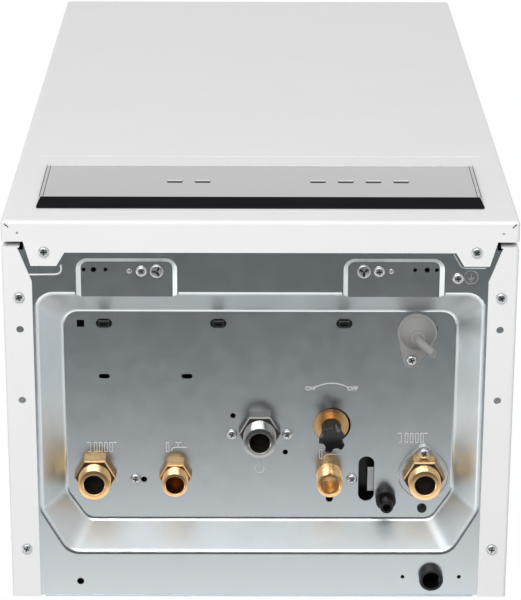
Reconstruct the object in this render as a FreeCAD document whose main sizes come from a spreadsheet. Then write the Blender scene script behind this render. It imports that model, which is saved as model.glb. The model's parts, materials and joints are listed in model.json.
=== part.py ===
import FreeCAD, Part
import math
import operator
import os
from types import SimpleNamespace

import Sketcher

# Wall-hung gas boiler. Millimetres, +Z up, and the front faces -Y. The origin is on the wall, in the middle
# of the casing's lower edge.

SIZES = {
    # casing
    "case_width": 403.0,
    "case_height": 750.0,
    "case_depth": 323.0,
    "panel_sheet": 1.0,
    "frame_sheet": 1.0,
    "bend_radius": 3.0,
    "cover_return": 17.0,
    "cover_seam": 4.0,
    "cover_flange": 26.0,
    "tab_reach": 11.0,
    "tab_width": 20.0,
    "tab_side_inset": 32.5,
    "tab_slope": 6.5,
    "crease_height": 173.0,
    "crease_width": 6.0,
    "crease_depth": 0.4,
    "crease_margin": 15.0,
    "side_flange": 23.0,
    "side_notch_depth": 29.0,
    "side_notch_width": 12.0,
    "side_fold": 14.0,
    "vent_hole_radius": 3.0,
    "vent_front_inset": 90.0,
    "vent_rear_inset": 150.0,
    "flange_hole_inset": 12.7,
    "side_screw_inset": 63.0,
    "side_screw_rear": 43.0,
    "cover_screw_side_inset": 33.0,
    "cover_screw_front_inset": 25.3,
    # rear frame and top
    "frame_fold": 80.0,
    "hang_drop": 45.0,
    "hang_spacing": 260.0,
    "hang_slot_radius": 6.0,
    "hang_slot_length": 26.0,
    "foot_hole_height": 45.0,
    "top_fold": 12.0,
    # bottom tray
    "tray_lip": 12.0,
    "tray_side_gap": 2.5,
    "tray_front_lap": 8.0,
    "recess_depth": 24.0,
    "rim_side_inset": 26.0,
    "rim_front_inset": 61.0,
    "rim_rear": 40.0,
    "rim_corner_run": 21.0,
    "rim_corner_rise": 37.0,
    "wall_run": 18.0,
    "wall_run_front": 21.0,
    "floor_corner_run": 17.0,
    "floor_corner_rise": 25.0,
    "recess_corner": 13.0,
    "recess_bend": 4.0,
    "pad_depth": 3.0,
    "pad_inner": 65.0,
    "pad_side_inset": 57.5,
    "pad_front_inset": 31.0,
    "pad_draft": 3.6,
    "pad_corner": 9.0,
    "pad_hole_inset": 42.5,
    "pad_spare_inset": 41.3,
    "pad_screw_place": 93.0,
    "pad_stud_place": 81.0,
    "earth_side_inset": 47.0,
    "earth_front_inset": 47.0,
    # pipe fittings
    "fitting_row": 98.0,
    "flow_share": 0.6625,
    "hot_share": 0.339,
    "cold_share": 0.2814,
    "return_share": 0.6625,
    "gas_row": 136.5,
    "gas_screw_place": 22.4,
    "gas_screw_row": 133.4,
    "hot_screw_share": 0.5002,
    "cold_screw_share": 0.3737,
    "water_screw_row": 94.0,
    "large_thread": 13.2,
    "small_thread": 10.5,
    "large_bore": 7.6,
    "small_bore": 7.5,
    "large_hex": 29.5,
    "small_hex": 23.0,
    "hex_height": 8.0,
    "fitting_reach": 23.0,
    "gas_reach": 27.0,
    "fitting_socket": 8.0,
    "stub_step": 2.0,
    "thread_chamfer": 1.5,
    "seat_clearance": 0.3,
    "plate_thickness": 2.0,
    "plate_radius": 20.5,
    "plate_lug_radius": 7.0,
    "plate_lug_reach": 19.5,
    # filling valve and drain
    "fill_share": 0.2868,
    "fill_row": 141.5,
    "fill_washer_radius": 14.3,
    "fill_hole_radius": 15.2,
    "fill_hole_shift": 0.7,
    "fill_stem_radius": 8.5,
    "fill_stem_length": 6.0,
    "fill_ring_radius": 10.4,
    "fill_ring_height": 1.6,
    "knob_length": 26.0,
    "knob_base_radius": 8.0,
    "knob_tip_radius": 10.6,
    "knob_rim": 2.0,
    "knob_waist_share": 0.45,
    "knob_flute_share": 0.7,
    "knob_flute_radius": 4.6,
    "knob_flute_place": 12.2,
    "knob_spigot_radius": 4.0,
    "knob_spigot_depth": 9.0,
    "drain_share": 0.5112,
    "drain_row": 77.5,
    "drain_collar_radius": 8.2,
    "drain_nozzle_radius": 5.5,
    "drain_bore_radius": 3.2,
    "drain_length": 20.0,
    "drain_collar_height": 7.0,
    "drain_seat": 2.0,
    "drain_stub_radius": 5.0,
    # bought-in small pieces on the tray
    "screw_head_radius": 4.4,
    "screw_crown_radius": 3.1,
    "screw_head_height": 2.4,
    "screw_shank_radius": 1.9,
    "screw_length": 9.0,
    "screw_clearance": 0.1,
    "stud_radius": 5.3,
    "stud_height": 2.0,
    "stud_shank_radius": 2.4,
    "gland_inset": 61.5,
    "gland_row": 17.5,
    "gland_radius": 9.8,
    "gland_bore": 7.2,
    "gland_neck": 8.4,
    "gland_drop": 7.0,
    "gland_lip": 3.0,
    "gland_spare_reach": 23.0,
    "gland_spare_radius": 1.6,
    "plug_share": 0.66,
    "plug_row": 68.0,
    "plug_radius": 4.0,
    "plug_neck": 2.9,
    "grommet_share": 0.6228,
    "grommet_front_inset": 101.0,
    "grommet_radius": 15.8,
    "grommet_base": 2.5,
    "grommet_rise": 10.0,
    "grommet_collar": 6.0,
    "grommet_lip": 2.0,
    "grommet_lip_slope": 1.0,
    "grommet_lug_drop": 23.0,
    "grommet_lug_shift": 4.1,
    "grommet_lug_radius": 7.0,
    "nipple_radius": 3.9,
    "nipple_bend": 9.0,
    "nipple_reach": 15.0,
    "nipple_drop": 5.0,
    "clip_inset": 94.0,
    "tie_reach": 45.2,
    "square_inset": 32.5,
    "square_hole": 6.0,
    "inspection_share": 0.4318,
    "inspection_row": 94.3,
    "inspection_length": 39.5,
    "inspection_width": 13.0,
    "clip_first_share": -0.6169,
    "clip_second_share": -0.1653,
    "clip_third_share": 0.3335,
    "clip_width": 8.6,
    "clip_slot_width": 13.0,
    "clip_slot_height": 7.6,
    "clip_height": 5.6,
    "clip_drop": 3.0,
    "clip_margin": 1.5,
    # controls
    "fascia_inset": 25.0,
    "fascia_low": 31.0,
    "fascia_high": 142.0,
    "fascia_proud": 3.0,
    "fascia_edge": 2.0,
    "fascia_chin": 22.0,
    "fascia_chin_drop": 2.4,
    "fascia_corner": 2.0,
    "window_margin": 20.0,
    "boss_depth": 10.0,
    "boss_wall": 2.0,
    "key_width": 12.0,
    "key_height": 5.6,
    "key_proud": 1.4,
    "key_row": 94.0,
    "key_clearance": 0.25,
    "key_travel": 0.8,
    "key_skirt": 1.6,
    "key_skirt_thickness": 1.0,
    "key_round": 0.6,
    "key_first_share": -0.3424,
    "key_third_share": 0.2328,
    "key_pitch": 22.4,
    "board_standoff": 4.5,
    "board_margin": 16.0,
    "post_radius": 3.0,
    "screen_width": 60.0,
    "screen_height": 40.0,
    "switch_width": 6.0,
    "board_thickness": 1.6,
    "control_side_inset": 41.5,
    "control_box_low": 36.0,
    "control_box_high": 196.0,
    "control_front_inset": 27.0,
    "control_rear_inset": 79.0,
    "moulding_wall": 2.0,
    "control_leg_width": 12.0,
    "control_leg_place": 50.0,
    "board_lift": 8.0,
    # water side
    "block_low": 40.0,
    "block_high": 96.0,
    "block_front": 128.0,
    "block_rear": 66.0,
    "block_margin": 24.0,
    "block_round": 9.0,
    "socket_wall": 4.0,
    "exchanger_half_length": 95.0,
    "exchanger_low": 44.0,
    "exchanger_high": 118.0,
    "exchanger_stack": 40.0,
    "exchanger_plate": 2.5,
    "exchanger_inset": 2.0,
    "pipe_radius": 9.0,
    "pipe_share": 0.7246,
    "pipe_bend": 22.0,
    "pump_share": 0.5757,
    "pump_height": 168.0,
    "pump_radius": 44.0,
    "pump_depth": 52.0,
    "pump_motor_radius": 40.0,
    "pump_motor_gap": 36.0,
    "terminal_share": 0.6,
    "pump_stub": 12.0,
    "vent_radius": 13.0,
    "vent_height": 36.0,
    "safety_radius": 10.0,
    "safety_length": 34.0,
    "diverter_share": 0.4566,
    "diverter_radius": 19.0,
    "diverter_height": 46.0,
    "diverter_motor_height": 52.0,
    "vessel_inset": 36.5,
    "vessel_depth": 60.0,
    "vessel_drop": 230.0,
    "vessel_crown": 34.0,
    "vessel_seam": 3.0,
    "vessel_port_share": 0.3077,
    "hose_low_turn": 0.165,
    "hose_high_turn": 0.54,
    "hose_radius": 6.0,
    # gas side and combustion
    "gas_valve_low": 104.0,
    "gas_valve_high": 186.0,
    "gas_valve_half_width": 38.0,
    "gas_valve_depth": 62.0,
    "gas_valve_coil": 14.0,
    "gas_lug_radius": 7.0,
    "gas_flange_thickness": 3.0,
    "chamber_low": 300.0,
    "chamber_rear": 66.0,
    "chamber_inset": 47.0,
    "burner_side_inset": 105.5,
    "burner_inset": 79.0,
    "burner_rear": 92.0,
    "burner_high": 376.0,
    "burner_side": 8.0,
    "blade_pitch": 16.0,
    "blade_thickness": 8.0,
    "blade_low": 328.0,
    "rail_height": 14.0,
    "manifold_radius": 10.0,
    "manifold_inset": 65.0,
    "manifold_height": 340.0,
    "nozzle_radius": 3.5,
    "firebox_wall": 12.0,
    "firebox_drop": 238.0,
    "fin_block_height": 64.0,
    "fin_pitch": 14.0,
    "fin_gap": 9.0,
    "header_depth": 14.0,
    "water_tube_radius": 8.0,
    "hood_height": 34.0,
    "hood_neck_half": 50.0,
    "fan_shift": 46.0,
    "fan_radius": 45.0,
    "fan_depth": 56.0,
    "fan_wall": 2.0,
    "wheel_radius": 38.0,
    "wheel_width": 26.0,
    "wheel_gap": 3.0,
    "wheel_blade": 2.0,
    "wheel_blade_length": 11.0,
    "wheel_blades": 16,
    "shaft_radius": 3.0,
    "shaft_reach": 18.0,
    "fan_motor_radius": 27.0,
    "fan_motor_length": 40.0,
    "flue_radius": 30.0,
    "flue_rise": 14.0,
    "collar_radius": 50.0,
    "collar_wall": 2.0,
    "collar_flange": 12.0,
    "collar_height": 15.0,
    "switch_radius": 26.0,
    "switch_depth": 22.0,
    "electrode_radius": 3.0,
    "electrode_length": 34.0,
}

doc = FreeCAD.newDocument("gas_boiler")
sheet = doc.addObject("Spreadsheet::Sheet", "sizes")
for row, (alias, value) in enumerate(SIZES.items(), 1):
    sheet.set(f"A{row}", alias.replace("_", " "))
    sheet.set(f"B{row}", str(value))
    sheet.setAlias(f"B{row}", alias)
doc.recompute()

OPERATIONS = {"+": operator.add, "-": operator.sub, "*": operator.mul, "/": operator.truediv}


class Size:
    # A length with its formula, so that sums of sizes stay bound to the sheet's cells.

    def __init__(self, formula, value):
        self.formula = formula
        self.value = value

    def joined(self, sign, other, swapped=False):
        left, right = (as_size(other), self) if swapped else (self, as_size(other))
        if sign in "+-" and right.formula == "0.0":
            return left
        if sign == "+" and left.formula == "0.0":
            return right
        return Size(f"({left.formula} {sign} {right.formula})", OPERATIONS[sign](left.value, right.value))

    def __add__(self, other):
        return self.joined("+", other)

    def __radd__(self, other):
        return self.joined("+", other, True)

    def __sub__(self, other):
        return self.joined("-", other)

    def __rsub__(self, other):
        return self.joined("-", other, True)

    def __mul__(self, other):
        return self.joined("*", other)

    def __rmul__(self, other):
        return self.joined("*", other, True)

    def __truediv__(self, other):
        return self.joined("/", other)

    def __neg__(self):
        return Size(f"(-{self.formula})", -self.value)


def as_size(number):
    return number if isinstance(number, Size) else Size(repr(float(number)), float(number))


size = SimpleNamespace(**{alias: Size(f"sizes.{alias}", float(sheet.get(alias))) for alias in SIZES})

# General helpers


def bind(item, links):
    for path, length in links.items():
        item.setExpression(path, as_size(length).formula)


def place(item, x, y, z):
    bind(item, {"Placement.Base.x": x, "Placement.Base.y": y, "Placement.Base.z": z})


def box(name, across, along, up):
    # Each span is a pair, low and high.
    item = doc.addObject("Part::Box", name)
    bind(item, {"Length": across[1] - across[0], "Width": along[1] - along[0], "Height": up[1] - up[0]})
    place(item, across[0], along[0], up[0])
    return item


def lay_along(item, axis, start, centre):
    # Turns a round piece from Z to its axis. The centre gives the two other coordinates in X, Y, Z order.
    if axis == "x":
        item.Placement.Rotation = FreeCAD.Rotation(FreeCAD.Vector(0, 1, 0), 90)
        place(item, start, centre[0], centre[1])
    elif axis == "y":
        item.Placement.Rotation = FreeCAD.Rotation(FreeCAD.Vector(1, 0, 0), -90)
        place(item, centre[0], start, centre[1])
    else:
        place(item, centre[0], centre[1], start)


def cylinder(name, axis, radius, span, centre):
    item = doc.addObject("Part::Cylinder", name)
    bind(item, {"Radius": radius, "Height": span[1] - span[0]})
    lay_along(item, axis, span[0], centre)
    return item


def cone(name, axis, radii, span, centre):
    item = doc.addObject("Part::Cone", name)
    bind(item, {"Radius1": radii[0], "Radius2": radii[1], "Height": span[1] - span[0]})
    lay_along(item, axis, span[0], centre)
    return item


def fuse(name, *items):
    joined = doc.addObject("Part::MultiFuse", name)
    joined.Shapes = list(items)
    joined.Refine = True
    return joined


def cut(name, base, *tools):
    item = doc.addObject("Part::Cut", name)
    item.Base = base
    item.Tool = tools[0] if len(tools) == 1 else fuse(name + "_tools", *tools)
    return item


def gather(name, items):
    group = doc.addObject("Part::Compound", name)
    group.Links = list(items)
    return group


def tube(name, radius, points, bend):
    # A round bar along straight runs joined by arcs of one bend radius.
    corners = [FreeCAD.Vector(*[as_size(number).value for number in point]) for point in points]
    edges = []
    start = corners[0]
    for before, corner, after in zip(corners, corners[1:], corners[2:]):
        inward = (before - corner).normalize()
        outward = (after - corner).normalize()
        turn = math.pi - inward.getAngle(outward)
        reach = bend.value * math.tan(turn / 2)
        first = corner + inward * reach
        last = corner + outward * reach
        middle = (inward + outward).normalize()
        crown = corner + middle * (bend.value / math.cos(turn / 2) - bend.value)
        edges.append(Part.LineSegment(start, first).toShape())
        edges.append(Part.Arc(first, crown, last).toShape())
        start = last
    edges.append(Part.LineSegment(start, corners[-1]).toShape())
    ring = Part.Wire(Part.makeCircle(radius.value, corners[0], corners[1] - corners[0]))
    item = doc.addObject("Part::Feature", name)
    item.Shape = Part.Wire(edges).makePipeShell([ring], True, False)
    return item


# Helpers for bodies

PLANES = {"XY": 1, "XZ": -1, "YZ": 1}


def new_body(label):
    return doc.addObject("PartDesign::Body", label)


def new_sketch(body, name, plane, level):
    # The level is the plane's own coordinate: Z for XY, Y for XZ and X for YZ.
    sketch = body.newObject("Sketcher::SketchObject", name)
    origin = [feature for feature in body.Origin.OriginFeatures if feature.Role == plane + "_Plane"]
    sketch.AttachmentSupport = [(origin[0], "")]
    sketch.MapMode = "FlatFace"
    bind(sketch, {"AttachmentOffset.Base.z": as_size(level) * PLANES[plane]})
    return sketch


def pin_point(sketch, geometry, end, point):
    for kind, axis, length in (("DistanceX", -2, point[0]), ("DistanceY", -1, point[1])):
        length = as_size(length)
        if length.formula == "0.0":
            sketch.addConstraint(Sketcher.Constraint("PointOnObject", geometry, end, axis))
        else:
            index = sketch.addConstraint(Sketcher.Constraint(kind, -1, 1, geometry, end, length.value))
            sketch.setExpression(f"Constraints[{index}]", length.formula)


def draw_loop(sketch, points):
    spots = [FreeCAD.Vector(as_size(x).value, as_size(y).value, 0) for x, y in points]
    count = len(spots)
    first = sketch.GeometryCount
    for index in range(count):
        sketch.addGeometry(Part.LineSegment(spots[index], spots[(index + 1) % count]), False)
    for index in range(count):
        following = first + (index + 1) % count
        sketch.addConstraint(Sketcher.Constraint("Coincident", first + index, 2, following, 1))
    for index, point in enumerate(points):
        pin_point(sketch, first + index, 1, point)


def draw_rounded_loop(sketch, points, radius):
    # A loop whose corners are arcs, held by construction lines between the sharp corners.
    first = sketch.GeometryCount
    draw_loop(sketch, points)
    count = len(points)
    for index in range(count):
        sketch.setConstruction(first + index, True)
    spots = [FreeCAD.Vector(as_size(x).value, as_size(y).value, 0) for x, y in points]
    arcs = []
    for index, corner in enumerate(spots):
        back = (spots[index - 1] - corner).normalize()
        ahead = (spots[(index + 1) % count] - corner).normalize()
        turn = math.pi - back.getAngle(ahead)
        reach = radius.value * math.tan(turn / 2)
        crown = radius.value / math.cos(turn / 2) - radius.value
        middle = (back + ahead).normalize()
        arcs.append(Part.Arc(corner + back * reach, corner + middle * crown, corner + ahead * reach))
    geometry = [sketch.addGeometry(arc, False) for arc in arcs]
    leaving = [corner + (spots[(index + 1) % count] - corner).normalize() * corner.distanceToPoint(
        arcs[index].EndPoint) for index, corner in enumerate(spots)]
    arriving = [corner + (spots[index - 1] - corner).normalize() * corner.distanceToPoint(
        arcs[index].StartPoint) for index, corner in enumerate(spots)]
    ends = [arc_ends(sketch.Geometry[arc], spot) for arc, spot in zip(geometry, arriving)]
    for index in range(count):
        following = (index + 1) % count
        line = sketch.addGeometry(Part.LineSegment(leaving[index], arriving[following]), False)
        for end in (1, 2):
            sketch.addConstraint(Sketcher.Constraint("PointOnObject", line, end, first + index))
        sketch.addConstraint(Sketcher.Constraint("Tangent", geometry[index], ends[index][1], line, 1))
        sketch.addConstraint(Sketcher.Constraint("Tangent", line, 2, geometry[following], ends[following][0]))
    for arc in geometry:
        index = sketch.addConstraint(Sketcher.Constraint("Radius", arc, radius.value))
        sketch.setExpression(f"Constraints[{index}]", radius.formula)


def arc_ends(arc, arrival):
    # Which end of a sketched arc, 1 or 2, is met first and which last.
    return (1, 2) if arc.StartPoint.distanceToPoint(arrival) < 0.001 else (2, 1)


def draw_rectangle(sketch, across, along):
    left, right = across
    low, high = along
    draw_loop(sketch, [(left, low), (right, low), (right, high), (left, high)])


def draw_circle(sketch, centre, radius):
    radius = as_size(radius)
    spot = FreeCAD.Vector(as_size(centre[0]).value, as_size(centre[1]).value, 0)
    circle = sketch.addGeometry(Part.Circle(spot, FreeCAD.Vector(0, 0, 1), radius.value), False)
    pin_point(sketch, circle, 3, centre)
    index = sketch.addConstraint(Sketcher.Constraint("Radius", circle, radius.value))
    sketch.setExpression(f"Constraints[{index}]", radius.formula)


def draw_hull(sketch, first_centre, first_radius, second_centre, second_radius):
    # Two circles with the straight lines that touch both, as round a slot or a lug.
    spots = [FreeCAD.Vector(as_size(x).value, as_size(y).value, 0) for x, y in (first_centre, second_centre)]
    radii = [as_size(first_radius), as_size(second_radius)]
    along = spots[1] - spots[0]
    heading = math.atan2(along.y, along.x)
    lean = math.acos((radii[0].value - radii[1].value) / along.Length)
    turns = ((heading + lean, heading + 2 * math.pi - lean), (heading - lean, heading + lean))
    arcs = []
    for spot, radius, turn in zip(spots, radii, turns):
        circle = Part.Circle(spot, FreeCAD.Vector(0, 0, 1), radius.value)
        arcs.append(sketch.addGeometry(Part.ArcOfCircle(circle, *turn), False))
    shapes = [sketch.Geometry[arc] for arc in arcs]
    for here, there in ((0, 1), (1, 0)):
        side = Part.LineSegment(shapes[here].EndPoint, shapes[there].StartPoint)
        line = sketch.addGeometry(side, False)
        sketch.addConstraint(Sketcher.Constraint("Tangent", arcs[here], 2, line, 1))
        sketch.addConstraint(Sketcher.Constraint("Tangent", line, 2, arcs[there], 1))
    for arc, centre, radius in zip(arcs, (first_centre, second_centre), radii):
        pin_point(sketch, arc, 3, centre)
        index = sketch.addConstraint(Sketcher.Constraint("Radius", arc, radius.value))
        sketch.setExpression(f"Constraints[{index}]", radius.formula)


def draw_slot(sketch, centre, length, width, standing=False):
    # A slot with round ends, overall length by width.
    half = (as_size(length) - width) / 2
    x, y = centre
    ends = ((x, y - half), (x, y + half)) if standing else ((x - half, y), (x + half, y))
    draw_hull(sketch, ends[0], as_size(width) / 2, ends[1], as_size(width) / 2)


def draw_bend(sketch, start, drop, radius, end):
    # A path that goes down, turns along an arc and runs straight to its end.
    first = FreeCAD.Vector(start[0].value, start[1].value, 0)
    corner = first - FreeCAD.Vector(0, drop.value, 0)
    middle = corner + FreeCAD.Vector(radius.value, 0, 0)
    last = FreeCAD.Vector(end[0].value, end[1].value, 0)
    ahead = last - middle
    turn = math.atan2(ahead.y, ahead.x) % (2 * math.pi) - math.acos(radius.value / ahead.Length)
    arc = Part.ArcOfCircle(Part.Circle(middle, FreeCAD.Vector(0, 0, 1), radius.value), math.pi, turn)
    sketch.addGeometry(Part.LineSegment(first, corner), False)
    sketch.addGeometry(arc, False)
    sketch.addGeometry(Part.LineSegment(arc.EndPoint, last), False)
    sketch.addConstraint(Sketcher.Constraint("Tangent", 0, 2, 1, 1))
    sketch.addConstraint(Sketcher.Constraint("Tangent", 1, 2, 2, 1))
    sketch.addConstraint(Sketcher.Constraint("Vertical", 0))
    pin_point(sketch, 0, 1, start)
    pin_point(sketch, 2, 2, end)
    for kind, ends, length in (("DistanceY", (0, 2, 0, 1), drop), ("Radius", (1,), radius)):
        index = sketch.addConstraint(Sketcher.Constraint(kind, *ends, length.value))
        sketch.setExpression(f"Constraints[{index}]", length.formula)


def add_feature(body, kind, name, **settings):
    feature = body.newObject("PartDesign::" + kind, name)
    for key, setting in settings.items():
        if isinstance(setting, Size):
            feature.setExpression(key, setting.formula)
        else:
            setattr(feature, key, setting)
    doc.recompute()
    body.Tip = feature
    return feature


def pad(body, sketch, length, **settings):
    return add_feature(body, "Pad", sketch.Name + "_pad", Profile=sketch, Length=as_size(length), **settings)


def pocket(body, sketch, length, **settings):
    before = body.Shape.Volume
    feature = add_feature(body, "Pocket", sketch.Name + "_cut", Profile=sketch, Length=as_size(length),
                          **settings)
    if body.Shape.Volume > before - 1e-3:
        raise RuntimeError(sketch.Name + " cuts nothing")
    return feature


def punch(body, sketch):
    # Cuts the sketch right through, both ways.
    return pocket(body, sketch, size.case_height * 2, SideType="Symmetric")


def revolve(body, sketch, axis="V_Axis"):
    return add_feature(body, "Revolution", sketch.Name + "_turned", Profile=sketch,
                       ReferenceAxis=(sketch, [axis]))


def loft(body, kind, name, lower, upper):
    return add_feature(body, kind, name, Profile=lower, Sections=[upper], Ruled=True)


def round_edges(body, name, radius, wanted):
    # Rounds the edges of the body's tip that the test accepts.
    base = body.Tip
    names = [f"Edge{n}" for n, edge in enumerate(base.Shape.Edges, 1) if wanted(edge)]
    return add_feature(body, "Fillet", name, Base=(base, names), Radius=as_size(radius))


def near(first, second):
    return abs(first - as_size(second).value) < 0.01


def upright(edge):
    return edge.BoundBox.XLength < 0.01 and edge.BoundBox.YLength < 0.01


def level_at(edge, height):
    return near(edge.BoundBox.ZMin, height) and near(edge.BoundBox.ZMax, height)


# Levels that several pieces share

half_width = size.case_width / 2
inner_half = half_width - size.panel_sheet
front_face = -size.case_depth
hot_place = half_width * size.hot_share
cold_place = half_width * size.cold_share
fill_place = half_width * size.fill_share
drain_place = half_width * size.drain_share
hot_screw_place = half_width * size.hot_screw_share
cold_screw_place = half_width * size.cold_screw_share
inspection_place = half_width * size.inspection_share
clip_second = half_width * size.clip_second_share
clip_third = half_width * size.clip_third_share
key_first = half_width * size.key_first_share
key_third = half_width * size.key_third_share
diverter_place = half_width * size.diverter_share
vessel_port_place = half_width * size.vessel_port_share
vent_hole_front = size.case_depth - size.vent_front_inset
vent_hole_rear = size.case_depth - size.vent_rear_inset
side_screw_front = size.case_depth - size.side_screw_inset
rim_front = size.case_depth - size.rim_front_inset
pad_front = size.case_depth - size.pad_front_inset
earth_row = size.case_depth - size.earth_front_inset
clip_row = size.case_depth - size.clip_inset
grommet_row = size.case_depth - size.grommet_front_inset
control_box_front = size.case_depth - size.control_front_inset
control_box_rear = size.case_depth - size.control_rear_inset
chamber_front = size.case_depth - size.chamber_inset
burner_front = size.case_depth - size.burner_inset
manifold_row = size.case_depth - size.manifold_inset
tab_place = half_width - size.tab_side_inset
cover_screw_place = half_width - size.cover_screw_side_inset
rim_half_width = half_width - size.rim_side_inset
pad_outer = half_width - size.pad_side_inset
earth_place = half_width - size.earth_side_inset
gland_place = half_width - size.gland_inset
fascia_half_width = half_width - size.fascia_inset
control_box_half_width = half_width - size.control_side_inset
burner_half_width = half_width - size.burner_side_inset
vessel_radius = half_width - size.vessel_inset
pipe_place = half_width * size.pipe_share
flow_place = half_width * size.flow_share
return_place = half_width * size.return_share
plug_place = half_width * size.plug_share
grommet_place = half_width * size.grommet_share
pump_place = half_width * size.pump_share
hang_height = size.case_height - size.hang_drop
vessel_height = size.case_height - size.vessel_drop
firebox_high = size.case_height - size.firebox_drop
fan_row = (burner_front + size.burner_rear) / 2
clip_first = half_width * size.clip_first_share
cover_back = front_face + size.cover_return
side_front = cover_back + size.cover_seam
tray_low = size.panel_sheet
tray_top = tray_low + size.frame_sheet
floor_low = tray_low + size.recess_depth
floor_top = floor_low + size.frame_sheet
tray_front = front_face + size.cover_flange - size.tray_front_lap
frame_front = -size.frame_sheet
frame_low = size.bend_radius
screw_hole = size.screw_shank_radius + size.screw_clearance
top_low = size.case_height - size.frame_sheet
tab_row = front_face + size.cover_flange
side_screw_place = half_width - size.flange_hole_inset
side_screw_rows = (-side_screw_front, -size.side_screw_rear)
cover_screw_row = front_face + size.cover_screw_front_inset
tray_half = inner_half - size.tray_side_gap
pad_row = front_face + size.pad_hole_inset
large_stub = size.large_thread - size.stub_step
small_stub = size.small_thread - size.stub_step
return_centre = (return_place, -size.fitting_row)
gas_centre = (as_size(0), -size.gas_row)
gas_screw_spots = ((-size.gas_screw_place, -size.gas_screw_row), (size.gas_screw_place, -size.gas_screw_row))
fill_centre = (fill_place, -size.fill_row)
drain_centre = (drain_place, -size.drain_row)
grommet_screw = (grommet_place - size.grommet_lug_shift, -grommet_row + size.grommet_lug_drop)
return_screw = (return_place, -size.fitting_row - size.plate_lug_reach)
water_screw_spots = ((-hot_screw_place, -size.water_screw_row), (cold_screw_place, -size.water_screw_row))
window_half = fascia_half_width - size.window_margin
window_low = size.fascia_low + size.window_margin
window_high = size.fascia_high - size.window_margin
board_front = front_face + size.board_standoff
post_place = window_half - size.board_margin / 2
post_heights = (window_low + size.board_margin / 2, window_high - size.board_margin / 2)
exchanger_rear = -size.block_rear + size.exchanger_stack
pump_top = size.pump_height + size.pump_radius + size.block_round
vent_place = pump_place - size.pump_radius / 2
safety_place = (fill_place + return_place) / 2 + size.safety_radius
chamber_floor = size.chamber_low + size.frame_sheet
gas_turn_height = (size.gas_valve_high + size.chamber_low) / 2
header_face = burner_half_width + size.firebox_wall + size.header_depth
header_height = firebox_high + size.fin_block_height / 2
hood_low = firebox_high + size.fin_block_height
hood_high = hood_low + size.hood_height
fan_height = hood_high + size.fan_radius + size.fan_wall * 2
SIDES = {"left": -1, "right": 1}

# Keys from left to right, by the middle of each
KEYS = {
    "power_key": key_first,
    "mode_key": key_first + size.key_pitch,
    "water_minus_key": key_third,
    "water_plus_key": key_third + size.key_pitch,
    "heating_minus_key": key_third + size.key_pitch * 2,
    "heating_plus_key": key_third + size.key_pitch * 3,
}

# Plain holes punched in the tray: X, Y and radius
PLAIN_HOLES = {
    "rear_left": (-145.9, -13.3, 2.9),
    "gas_front": (-21.6, -149.6, 2.2),
    "gas_rear": (20.9, -117.8, 2.2),
    "hot_spare": (-94.0, -93.4, 2.5),
    "cold_spare": (57.2, -76.5, 3.0),
}

# Spare holes in each pad, from its outer end: distance and radius
PAD_HOLES = {"outer": (6.0, 1.6), "middle": (13.6, 2.1), "inner": (23.0, 1.6)}

# Plain slots in the recess floor, from the rim's side: distance, length and width
TIE_SLOTS = {"outer": (50.7, 8.8, 4.0), "inner": (117.0, 8.8, 4.0)}

# Blocks on the circuit board: X, Z from its middle, width, height and depth
BOARD_BLOCKS = (
    (-140.0, -50.0, 46.0, 40.0, 30.0),
    (-80.0, -56.0, 60.0, 16.0, 12.0),
    (0.0, -56.0, 80.0, 16.0, 12.0),
    (-70.0, 10.0, 18.0, 28.0, 16.0),
    (-40.0, 10.0, 18.0, 28.0, 16.0),
    (40.0, 0.0, 50.0, 50.0, 4.0),
)


def tray_circles():
    circles = [((as_size(x), as_size(y)), as_size(radius)) for x, y, radius in PLAIN_HOLES.values()]
    screw_spots = [(earth_place, -earth_row), grommet_screw, return_screw, *gas_screw_spots,
                   *water_screw_spots]
    for side in SIDES.values():
        spare_row = front_face + size.pad_spare_inset
        for inset, radius in PAD_HOLES.values():
            circles.append((((pad_outer - inset) * side, spare_row), as_size(radius)))
        gland_spare = gland_place + size.gland_spare_reach * side
        circles.append(((gland_spare, -size.gland_row), size.gland_spare_radius))
        screw_spots.append((cover_screw_place * side, cover_screw_row))
        screw_spots.append((size.pad_screw_place * side, pad_row))
        screw_spots += [(side_screw_place * side, screw_row) for screw_row in side_screw_rows]
        circles.append(((size.pad_stud_place * side, pad_row), size.stud_shank_radius + size.screw_clearance))
    circles += [(spot, screw_hole) for spot in screw_spots]
    for x, stub in ((-flow_place, large_stub), (-hot_place, small_stub), (cold_place, small_stub),
                    (return_place, large_stub)):
        circles.append(((x, -size.fitting_row), stub + size.seat_clearance))
    circles.append((gas_centre, large_stub + size.seat_clearance))
    circles.append(((fill_place + size.fill_hole_shift, -size.fill_row), size.fill_hole_radius))
    circles.append((drain_centre, size.drain_stub_radius + size.seat_clearance))
    circles.append(((gland_place, -size.gland_row), size.gland_neck + size.screw_clearance))
    circles.append(((plug_place, -size.plug_row), size.plug_neck + size.screw_clearance))
    return circles


def tray_slots():
    tie_row = size.tie_reach - clip_row
    slots = [((inset - rim_half_width, tie_row), length, width, False)
             for inset, length, width in TIE_SLOTS.values()]
    inspection = (inspection_place, -size.inspection_row)
    slots.append((inspection, size.inspection_length, size.inspection_width, True))
    for x in (clip_first, clip_second, clip_third):
        slots.append(((x, -clip_row), size.clip_slot_width, size.clip_slot_height, False))
    return slots


# Casing


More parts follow.
